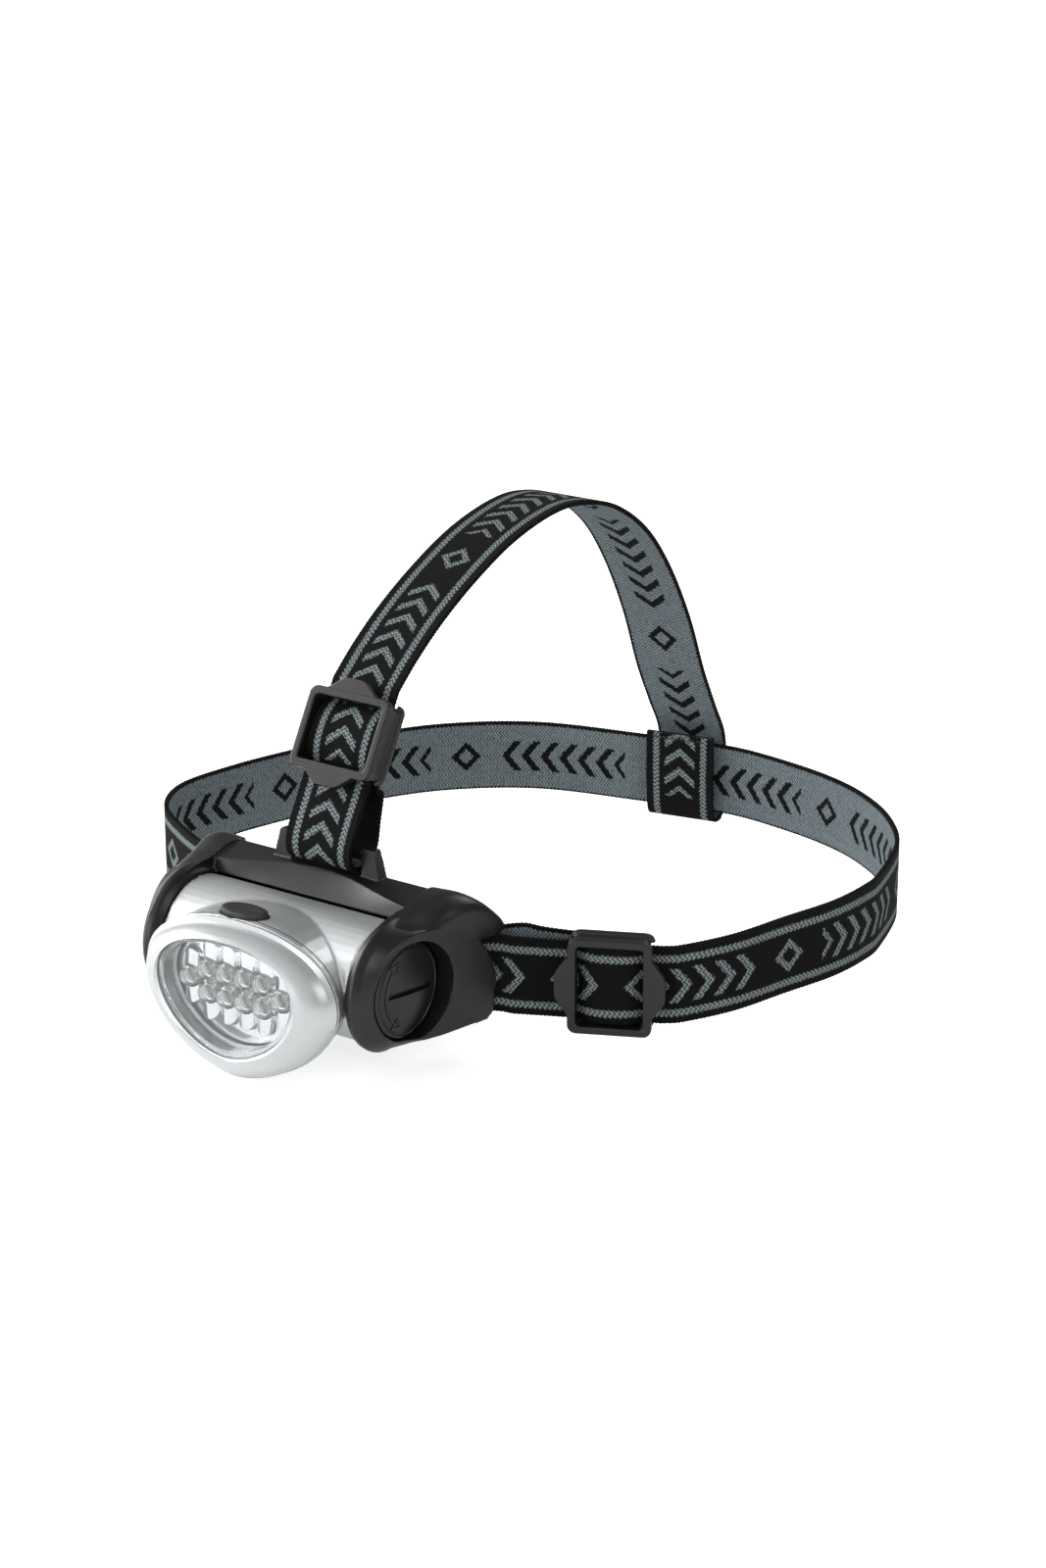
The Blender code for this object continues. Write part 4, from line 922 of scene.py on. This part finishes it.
def sewing():
    """The seams where each strap's end is sewn down."""
    half = STRAP_WIDTH / 2 - SEAM_INSET
    for name, run, across in (("side", SIDE, SIDE.across), ("top", TOP, -TOP.across)):
        middles = [run.at(run.buckle_at + offset, DOUBLED + SEAM_RISE) for offset in SEAM_OFFSETS]
        lines = [(middle, across * half, -run.outward) for middle in middles]
        stitches(f"{name}_buckle_seam", lines)
    *end, twist = TOP_LOOP[-1]
    across = Vector((*on_circle(1.0, twist), 0.0))
    inward = Vector((across.y, -across.x, 0.0))
    middle = Vector(end) + Vector((0.0, 0.0, -1.3)) + inward * SEAM_RISE
    stitches("rear_flap_seam", [(middle, across * half, inward)])


# Bracket


def face_x(y):
    return EAR_FACE[0] + EAR_FACE[1] * y


def bar_section(x):
    """The top bar and back wall, cut across at x."""
    swing = math.cos(math.pi * x / CREASE_REACH)
    return [
        (x, *BAR_LIP),
        (x, CREASE[0] + CREASE_SWING[0] * swing, CREASE[1] + CREASE_SWING[1] * swing),
        (x, BACK - BAR_BEVEL, BAR_TOP),
        (x, BACK, BAR_TOP - BAR_BEVEL),
        (x, BACK, FLOOR + FLOOR_BEVEL),
        (x, BACK - FLOOR_BEVEL, FLOOR),
        (x, FLOOR_FRONT, FLOOR),
    ]


def ear_outline(front, top_front, bottom, corner, top):
    """The ear seen from the side, as (y, z): the ring's front, then the part behind it."""
    start, end = RING_FRONT
    points = []
    for degrees in np.arange(start, end + 0.5, 2.0):
        share = max(0.0, (150 - degrees) / (150 - start))
        low = max(0.0, (degrees - 190) / (end - 190))
        radius = front + (top_front - front) * share - 1.8 * low**2
        points.append(on_circle(radius, degrees))
    points += bottom
    points += [on_circle(corner, degrees, EAR_CORNER) for degrees in range(275, 346, 7)]
    points += [on_circle(top, degrees, EAR_TOP) for degrees in range(8, 80, 3)]
    return points


def ear(side):
    rings = []
    for x, lean, front, rear in [*smooth_path(EAR_PROFILE[:3], 0.6), EAR_PROFILE[3]]:
        outline = ear_outline(front, front, *EAR_REST)
        rings.append(
            [(side * (x + lean * max(y, 0.0)), y * rear, z * rear) for y, z in outline]
        )
    face = ear_outline(*EAR_FACE_OUTLINE)
    rings.append([(side * face_x(y), y, z) for y, z in face])
    return loft("ear", rings)


def shoulder(side):
    """The rounded shoulder from the top bar's end, over the ear, to above the slot."""
    rows = []
    for y, (inner, *corners) in SHOULDER:
        row = [y, *inner]
        for point in evenly(smooth_path([(*c, 0.0) for c in corners], 0.8), 24):
            row += point[:2]
        rows.append(row)
    rings = []
    for y, *flat in smooth_path(rows, count=6):
        rings.append([(side * x, y, z) for x, z in zip(flat[::2], flat[1::2])])
    return loft("shoulder", rings)


def tube_space():
    """The room for the lamp's tube between the ears, and the holes through them."""
    steps = (
        (-60.0, HOLE_RADIUS),
        (-RING_X, HOLE_RADIUS),
        (-RING_X, RING_RADIUS),
        (RING_X, RING_RADIUS),
        (RING_X, HOLE_RADIUS),
        (60.0, HOLE_RADIUS),
    )
    rings = []
    for x, radius in steps:
        rings.append([(x, *on_circle(radius, 2.5 * i + 1.0)) for i in range(144)])
    return loft("tube space", rings)


def slot_pocket(side):
    """The space for the strap behind the ear's outer wall."""
    outline = [
        (33.6, SLOT_FRONT),
        (face_x(SLOT_FRONT) - SLOT_WALL, SLOT_FRONT),
        (face_x(SLOT_REAR) - SLOT_WALL, SLOT_REAR),
        (29.0, SLOT_REAR),
    ]
    half = STRAP_WIDTH / 2 + 0.5
    outline = [(side * x, y) for x, y in outline]
    return prism("slot pocket", outline, SLOT_MIDDLE - half, SLOT_MIDDLE + half)


def bracket():
    """Its pieces are cut to shape one by one, then moulded into one skin."""
    shell = loft("bracket_shell", [bar_section(x) for x in range(-32, 33)])
    cut(shell, tube_space())
    others = []
    for side in (1, -1):
        for part in (ear(side), shoulder(side)):
            cut(part, tube_space())
            cut(part, slot_pocket(side))
            others.append(part)
        floor = [(side * x, y) for x, y in SLOT_FLOOR]
        others.append(prism("slot floor", floor, FLOOR - 0.8, FLOOR + 0.15))
        post = (side * SLOT_BAR_AT[0], SLOT_BAR_AT[1])
        others.append(rod("slot bar", SLOT_BAR_RADIUS, FLOOR - 0.4, 8.2, post))
        levels = [[(side * x, y, z) for x, y in plan] for plan, z in LUG_LEVELS]
        others.append(loft("lug post", levels))
    reach, (front, back), (low, high) = LUG_BAR
    others.append(box("lug crossbar", (-reach, front, low), (reach, back, high)))
    absorbed(shell, others)
    moulded(shell, voxel=0.3, rounds=4)
    piece(shell, "bracket", "black_plastic", ["bracket_frame"])


def back_cover():
    plate = copy_of("back_plate", "back_cover")
    moulded(plate, voxel=0.4, rounds=3)
    piece(plate, "bracket", "black_plastic", ["back_plate"])


def cover_screws():
    """Pan-head screws with a cross recess."""
    for number in range(1, 5):
        node = f"plate_screw_{number}"
        low, high = box_of(node)
        top, radius = high.y, (high.x - low.x) / 2
        profile = [(0.0, top), (radius * 0.55, top - 0.04), (radius * 0.85, top - 0.18)]
        profile += [(radius, top - 0.5), (radius * 0.98, top - 0.72), (1.0, top - 0.74)]
        profile += [(1.0, low.y + 0.8), (0.0, low.y)]
        place = placed(((low.x + high.x) / 2, 0.0, (low.z + high.z) / 2), -90, "X")
        screw = turned(f"cover_screw_{number}", profile, 40, place)
        for turn in (35, 125):
            bar = place @ Matrix.Rotation(math.radians(turn + 20 * number), 4, "Z")
            blade = box("blade", (-1.25, -0.22, top - 0.55), (1.25, 0.22, top + 1), bar)
            cut(screw, blade)
        piece(shaded(screw), "bracket", "steel", [node])


def pad_depth(share):
    """The pad's depth as a share of its greatest, and how far its seam pinches it, at a
    share of the way from its middle to its rim."""
    rim, edge = 0.94, 0.72
    if share > rim:
        return edge * math.cos((share - rim) / (1 - rim) * math.pi / 2), 0.0
    pinch = 0.45 * math.exp(-(((share - 0.84) / 0.035) ** 2))
    return edge + (1 - edge) * (1 - (share / rim) ** 6), pinch


def squarish(degrees, half_x, half_z, power=8.0):
    """The point of a rectangle with rounded corners that lies at an angle."""
    c, s = on_circle(1.0, degrees)
    reach = (abs(c / half_x) ** power + abs(s / half_z) ** power) ** (-1 / power)
    return reach * c, reach * s


def forehead_pad():
    """A crowned pad with a pinched seam round its edge and a bound rim."""
    low, high = box_of("forehead_pad")
    middle, half = (low + high) / 2, (high - low) / 2
    outline = [squarish(360 * i / 176, half.x, half.z) for i in range(176)]
    rings, steps = [], 26
    for i in range(steps * 2 + 1):
        # From the middle of the front face, out to the rim, and back to the middle.
        share = 1 - abs(1 - i / steps)
        depth, pinch = pad_depth(share)
        y = middle.y + (1 if i > steps else -1) * (half.y * depth - pinch)
        rings.append([(middle.x + x * share, y, middle.z + z * share) for x, z in outline])
    pad = loft("forehead_cushion", rings)
    pad.data.shade_smooth()
    piece(pad, "bracket", "foam", ["forehead_pad"])


# Buckles, in the axes of their own straight stretch of strap


def rounded_rectangle(half_x, half_y, corner, steps=8):
    points = []
    for x, y, start in ((1, 1, 0), (-1, 1, 90), (-1, -1, 180), (1, -1, 270)):
        middle = (x * (half_x - corner), y * (half_y - corner))
        points += [on_circle(corner, start + 90 * i / steps, middle) for i in range(steps + 1)]
    return points


def frame_ring(name, outer, inner, low, high, place):
    corners = ((outer, low), (outer, high), (inner, high), (inner, low))
    rings = [[(x, y, z) for x, y in outline] for outline, z in corners]
    return loft(name, rings, wrap=True, place=place)


def buckle(name, node, run):
    """A frame with a flange at its back and its front, a centre bar and two tabs."""
    turn = Matrix((run.along, run.across, run.outward)).transposed().to_4x4()
    place = TO_ROW @ Matrix.Translation(run.at(run.buckle_at)) @ turn
    back, front = BUCKLE_BACK, BUCKLE_FRONT
    rear_flange, front_flange = BUCKLE_FLANGES
    inside, outside, between = BUCKLE_CORNERS
    inner = rounded_rectangle(*BUCKLE_WINDOW, inside)
    flange = rounded_rectangle(*BUCKLE_HALF, outside)
    wall = rounded_rectangle(*[half - BUCKLE_STEP for half in BUCKLE_HALF], between)
    body = frame_ring(name, flange, inner, front - front_flange, front, place)
    others = [
        frame_ring("wall", wall, inner, back + 1.0, front - 1.5, place),
        frame_ring("rear", flange, inner, back, back + rear_flange, place),
    ]
    absorbed(body, others)
    moulded(body, voxel=0.3, rounds=0)
    reach, strap_top = BUCKLE_WINDOW[1], STRAP_THICK / 2 + 0.5
    cut(body, box("way", (-30, -reach, -9), (30, reach, strap_top), place))
    bar_x, bar_y = BUCKLE_BAR
    bar_top = -STRAP_THICK / 2 - 0.4
    bar = box("bar", (-bar_x, -bar_y, back), (bar_x, bar_y, bar_top), place)
    absorbed(body, [bar, tab(1, place), tab(-1, place)])
    moulded(body, voxel=0.22, rounds=6)
    piece(body, node, "black_plastic", [node])


def tab(side, place):
    """The bulge in the middle of each end bar, for a finger."""
    end, steps = BUCKLE_HALF[0], 40
    outline = []
    for i in range(steps + 1):
        y = TAB_HALF * (2 * i / steps - 1)
        share = min(1.0, (TAB_HALF - abs(y)) / TAB_SLOPE)
        bulge = share * share * (3 - 2 * share)
        outline.append((side * (end - 0.6 + BUCKLE_TAB * bulge), y))
    outline += [(side * (end - 1.6), TAB_HALF), (side * (end - 1.6), -TAB_HALF)]
    return prism("tab", outline, BUCKLE_FRONT - 2.2, BUCKLE_FRONT - 0.2, place)


def arch(name, body, run, phase):
    """Where the strap climbs over the buckle's centre bar, in the window."""
    reach, rise, steps = 8.15, 2.9, 34
    path = []
    for i in range(steps + 1):
        x = reach * (2 * i / steps - 1)
        share = 1 - abs(x / reach) ** 2.6
        path.append(run.at(run.buckle_at + x, 0.15 - rise * share))
    strap(name, path, [run.across] * len(path), [], body, phase)


# Lamp head


def housing():
    shell = copy_of("lamp_housing", "lamp_shell")
    moulded(shell, voxel=0.34, rounds=6)
    piece(shell, "lamp_head", "silver_paint", ["lamp_housing"], "silver_groove_painted_shade")


def bezel():
    """From its rear edge over its front to the opening, and back behind the lens."""
    y, *rear = BEZEL[0]
    rings = [nose_ring((y, *rear)), nose_ring((y - BEZEL_LIP, *rear))]
    rings += [nose_ring(section) for section in smooth_path(BEZEL[1:], 0.35)]
    inner = ((OPENING[0] - 0.15, -0.35), (OPENING[0], 0.0), (-23.6, 0.0), (-22.6, -1.3))
    rings += [opening_ring(y, inset) for y, inset in (*inner, (-19.6, -1.3))]
    rings += [nose_ring((-19.3, *rear), BEZEL_WALL), nose_ring((y, *rear), BEZEL_WALL)]
    ring = shaded(loft("front_bezel", rings, wrap=True), 28)
    piece(ring, "lamp_head", "silver_paint", ["bezel"])


def lens():
    front = smooth_path(LENS_DOME, 0.08)
    inside = LENS_GAP + LENS_WALL
    rings = [opening_ring(y, LENS_GAP, scale) for y, scale in front]
    rings += [opening_ring(LENS_BACK, LENS_GAP), opening_ring(LENS_BACK, inside)]
    rings += [opening_ring(y + LENS_WALL, inside, scale) for y, scale in reversed(front)]
    cover = shaded(loft("clear_lens", rings), 30)
    piece(cover, "lamp_head", "clear_plastic", ["lens"])


def led_places():
    """Two rows of four diodes, and one more at each side of them."""
    heights = (LED_MIDDLE + LED_ROW, LED_MIDDLE - LED_ROW)
    rows = [(LED_PITCH * (i - 1.5), height) for height in heights for i in range(4)]
    return rows + [(-2.5 * LED_PITCH, LED_MIDDLE), (2.5 * LED_PITCH, LED_MIDDLE)]


def flute(x, z, place, side):
    """How far a rounded flute above or below a diode stands out, from 0 to 1."""
    across = np.clip(np.abs(x - place[0]) / FLUTE_HALF, 0.0, 1.0)
    along = (z - place[1]) * side
    start, end = LED_RADIUS - 0.6, FLUTE_REACH - FLUTE_HALF * (1 - np.sqrt(1 - across**2))
    inside = np.clip((end - along) / 0.5, 0.0, 1.0) * (along > start)
    return np.sqrt(1 - across**2) * inside


def reflector():
    """A bright plate with a round well for each diode, and a rounded flute above and
    below each of them."""
    rings, around = 130, 640
    floor, plate = REFLECTOR_FLOOR, REFLECTOR_PLATE
    places = np.array(led_places())
    outline = np.array(opening_ring(0.0, 1.6))
    turns = np.linspace(0, len(outline), around, endpoint=False)
    closed = np.vstack([outline, outline[:1]])
    edge = [np.interp(turns, range(len(closed)), closed[:, axis]) for axis in (0, 2)]
    sheet, under = [], []
    for ring in range(rings + 1):
        share = max(ring / rings, 0.004)
        x, z = edge[0] * share, edge[1] * share
        gaps = np.hypot(x[:, None] - places[:, 0], z[:, None] - places[:, 1])
        well = np.interp(gaps.min(axis=1), (2.65, 2.95), (0.0, 1.0))
        stands = np.zeros(around)
        for number, place in enumerate(places):
            # The upper row has flutes above, the lower row below, and the outer two both.
            if number < 4 or number > 7:
                stands = np.maximum(stands, flute(x, z, place, 1))
            if number > 3:
                stands = np.maximum(stands, flute(x, z, place, -1))
        depth = floor + (plate - floor - FLUTE_RISE * stands) * well
        place = [Vector((a, y + OPENING_LEAN * c, c)) for a, y, c in zip(x, depth, z)]
        sheet.append(place)
        under.append([point + Vector((0.0, 0.5, 0.0)) for point in place])
    tray = loft("bright_reflector", sheet + under[::-1])
    relaxed(tray.data, 1)
    piece(shaded(tray, 60), "lamp_head", "chrome", ["reflector"])


def diodes():
    """Each diode: a clear domed body, with its cup and its phosphor."""
    length = LED_BASE - LED_TIP
    brim = LED_RADIUS + 0.2
    profile = [(0.0, length)]
    for degrees in np.linspace(90, 0, 9)[1:]:
        radius, rise = on_circle(LED_RADIUS, degrees)
        profile.append((radius, length - LED_RADIUS + rise))
    profile += [(LED_RADIUS, 1.0), (brim, 0.95), (brim, 0.0), (0.0, 0.0)]
    cup = [(0.0, 3.1), (0.75, 3.1), (1.05, 3.9), (1.25, 3.9), (0.9, 2.6), (0.9, 0.6), (0.0, 0.6)]
    dot = [(0.0, 3.45), (0.6, 3.4), (0.78, 3.16), (0.0, 3.14)]
    for number, (x, z) in enumerate(led_places(), 1):
        node = f"led_{number:02d}"
        place = placed((x, LED_BASE, z), 90, "X")
        body = shaded(turned(f"{node}_body", profile, 32, place))
        piece(body, "lamp_head", "led_resin", [node])
        inside = shaded(turned(f"{node}_cup", cup, 20, place))
        piece(inside, "lamp_head", "chrome")
        glow = shaded(turned(f"{node}_phosphor", dot, 16, place))
        piece(glow, "lamp_head", "led_resin", look="phosphor")


def button():
    """A rubber dome with a soft rim and a shallow dish for the fingertip."""
    side_top = 0.75
    levels = [(-0.3, 0.0), (side_top, 0.0)]
    for i in range(1, 9):
        turn = math.radians(90 * i / 8)
        levels.append((side_top + 0.75 * math.sin(turn), 0.9 - 0.9 * math.cos(turn)))
    levels += [(1.62, 1.5), (1.56, 2.2), (1.48, 3.0), (1.46, 3.5)]
    rings = []
    for height, inset in levels:
        ring = []
        for i in range(72):
            x, y = on_circle(1.0, 5 * i)
            reach = (x * (BUTTON_HALF[0] - inset), y * (BUTTON_HALF[1] - inset), height)
            ring.append(BUTTON_AT + Vector(reach))
        rings.append(ring)
    soft = shaded(loft("button_dome", rings), 50)
    piece(soft, "push_button", "rubber", ["push_button"])


def dome(rise, radius):
    """The height of a shallow dome above the edge of the cap, at a radius."""
    return rise * (1 - (radius / CAP_RADIUS) ** 2)


def dome_profile(rise, base):
    radii = [CAP_DOME_RADIUS * i / 24 for i in range(25)]
    return [(radius, base + dome(rise, radius)) for radius in radii]


def cap():
    """The coin-slotted cap: a domed face with a rim, a turned plug, and raised arrows."""
    place = placed((0.0, 0.0, 0.0), 90, "Y")
    face, radius = CAP_FACE, CAP_PLUG_RADIUS
    profile = dome_profile(CAP_DOME, face)
    profile += [(10.75, face + dome(CAP_DOME, 10.8) - CAP_GROOVE)]
    profile += [(11.05, face + dome(CAP_DOME, 11.0) - CAP_GROOVE)]
    profile += [(11.25, face + dome(CAP_DOME, 11.2)), (11.7, face + 0.02), (12.0, face - 0.15)]
    profile += [(CAP_RADIUS, face - 0.5), (CAP_RADIUS, CAP_PLUG_SHOULDER)]
    first, second, depth = CAP_SEAL
    profile += [(radius, CAP_PLUG_SHOULDER), (radius, first), (radius - depth, first)]
    profile += [(radius - depth, second), (radius, second), (radius, CAP_PLUG_START + 0.4)]
    profile += [(radius - 0.4, CAP_PLUG_START), (0.0, CAP_PLUG_START)]
    obj = turned("coin_slot_cap", profile, 128, place)
    length, width, depth = CAP_SLOT
    slot_low = (-width / 2, -length / 2, face + CAP_DOME - depth)
    turn = place @ Matrix.Rotation(math.radians(CAP_SLOT_TURN), 4, "Z")
    groove = box("groove", slot_low, (width / 2, length / 2, 45.0), turn)
    cut(obj, groove)
    piece(shaded(obj, 30), "battery_cap", "black_plastic", ["battery_cap"])
    turn_marks(place)


def turn_marks(place):
    """A raised arc with a hollow arrowhead at each end: the ways the cap turns."""
    radius, height, half_width = 9.0, 0.22, 0.2
    start, end = 224, 316
    strokes = [[on_circle(radius, degrees) for degrees in range(start, end + 1, 4)]]
    for foot, way in ((start, -1), (end, 1)):
        tip = on_circle(radius, foot + way * 20)
        inner = on_circle(radius - 1.5, foot + way * 3)
        outer = on_circle(radius + 1.3, foot + way * 3)
        strokes.append([inner, tip, outer, inner])
    bars = []
    for stroke in strokes:
        for first, second in zip(stroke, stroke[1:]):
            first, second = Vector((*first, 0.0)), Vector((*second, 0.0))
            along = (second - first).normalized()
            side = Vector((-along.y, along.x, 0.0)) * half_width
            first, second = first - along * 0.1, second + along * 0.1
            corners = (first - side, second - side, second + side, first + side)
            levels = (CAP_FACE - 0.2, CAP_FACE + height)
            rings = [[(c.x, c.y, z + dome(CAP_DOME, c.length)) for c in corners] for z in levels]
            bars.append(loft("cap_arrows", rings, place=place))
    marks = shaded(absorbed(bars[0], bars[1:]), 30)
    piece(marks, "battery_cap", "black_plastic")


def left_plug():
    """The plug in the left-hand ear: a face like the cap's, and a thin pin behind it."""
    low, high = box_of("pivot_plug")
    depth, pin = high.x - low.x, 1.9
    profile = dome_profile(PLUG_DOME, -1.0)
    profile += [(10.75, -1.1), (11.05, -1.1), (11.25, -0.25), (11.8, -0.05), (12.1, -0.25)]
    profile += [(CAP_RADIUS, -0.5), (CAP_RADIUS, -PLUG_LENGTH), (pin, -PLUG_LENGTH)]
    profile += [(pin, -depth), (0.0, -depth)]
    plug = turned("left_trunnion", profile, 128, placed((low.x, 0.0, 0.0), -90, "Y"))
    piece(shaded(plug, 30), "lamp_head", "black_plastic", ["pivot_plug"])


def hidden_parts():
    """The CAD pieces that keep their own shape, dressed in their materials."""
    slots = {row["node"]: row["material_slot"] for row in frame["record"]["subparts"]}
    for name, obj in frame["nodes"].items():
        if obj.hide_render:
            continue
        obj.data.materials.clear()
        look = "pale_silicone" if name == "lens_seal" else slots[name]
        obj.data.materials.append(LOOKS[look])
        shaded(obj)


def area_light(name, place, size, power):
    data = bpy.data.lights.new(name, "AREA")
    data.shape = "RECTANGLE"
    data.size, data.size_y = size
    data.energy = power
    light = bpy.data.objects.new(name, data)
    bpy.context.scene.collection.objects.link(light)
    light.location = TILT_AXIS + Vector(place)
    light.rotation_euler = (SOFTBOX_AIM - Vector(place)).to_track_quat("-Z", "Y").to_euler()


def softbox_sky():
    """Bright towards the front left and dim elsewhere, except as the camera sees it."""
    world = bpy.data.worlds.new("studio")
    bpy.context.scene.world = world
    world.use_nodes = True
    sky = Nodes(world.node_tree)
    place = sky.node("TexCoord", {}).outputs["Generated"]
    facing = sky.node("VectorMath", {0: place, 1: SKY_BRIGHT_SIDE}, operation="DOT_PRODUCT")
    facing = facing.outputs["Value"]
    glow = sky.between(facing, -0.1, 0.85, 0.2, 1.0, interpolation_type="SMOOTHSTEP")
    background = world.node_tree.nodes["Background"]
    sky.put(background.inputs["Color"], (1.0, 1.0, 1.0, 1.0))
    sky.put(background.inputs["Strength"], sky.larger(sky.for_camera(1.05, 0.0), glow))


def stage():
    bm = bmesh.new()
    bmesh.ops.create_circle(bm, cap_ends=True, segments=96, radius=60.0)
    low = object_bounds()[0]
    floor = object_from("floor", bm, Matrix.Translation((0.0, 0.0, low[2] - 0.0005)))
    floor.data.materials.append(floor_look())
    floor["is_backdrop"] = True
    softbox_sky()
    for softbox in SOFTBOXES:
        area_light(*softbox)
    bpy.context.scene.view_settings.view_transform = "Standard"


def camera():
    """A long lens from the front right, a little above the lamp."""
    data = bpy.data.cameras.new("camera")
    data.lens = CAMERA_LENS
    data.sensor_width = CAMERA_SENSOR
    across = math.cos(CAMERA_ELEVATION)
    back = (
        math.sin(CAMERA_AZIMUTH) * across,
        -math.cos(CAMERA_AZIMUTH) * across,
        math.sin(CAMERA_ELEVATION),
    )
    obj = bpy.data.objects.new("camera", data)
    bpy.context.scene.collection.objects.link(obj)
    obj.location = TILT_AXIS + CAMERA_AT
    obj.rotation_euler = (-Vector(back)).to_track_quat("-Z", "Y").to_euler()
    bpy.context.scene.camera = obj


bracket()
back_cover()
cover_screws()
forehead_pad()
headband()
top_strap()
sewing()
buckle("side_buckle", "buckle_side", SIDE)
buckle("top_buckle", "buckle_top", TOP)
arch("side_strap_arch", "buckle_side", SIDE, phase=5.0)
arch("top_strap_arch", "buckle_top", TOP, phase=30.0)
housing()
bezel()
lens()
reflector()
diodes()
button()
cap()
left_plug()
hidden_parts()
stage()
camera()
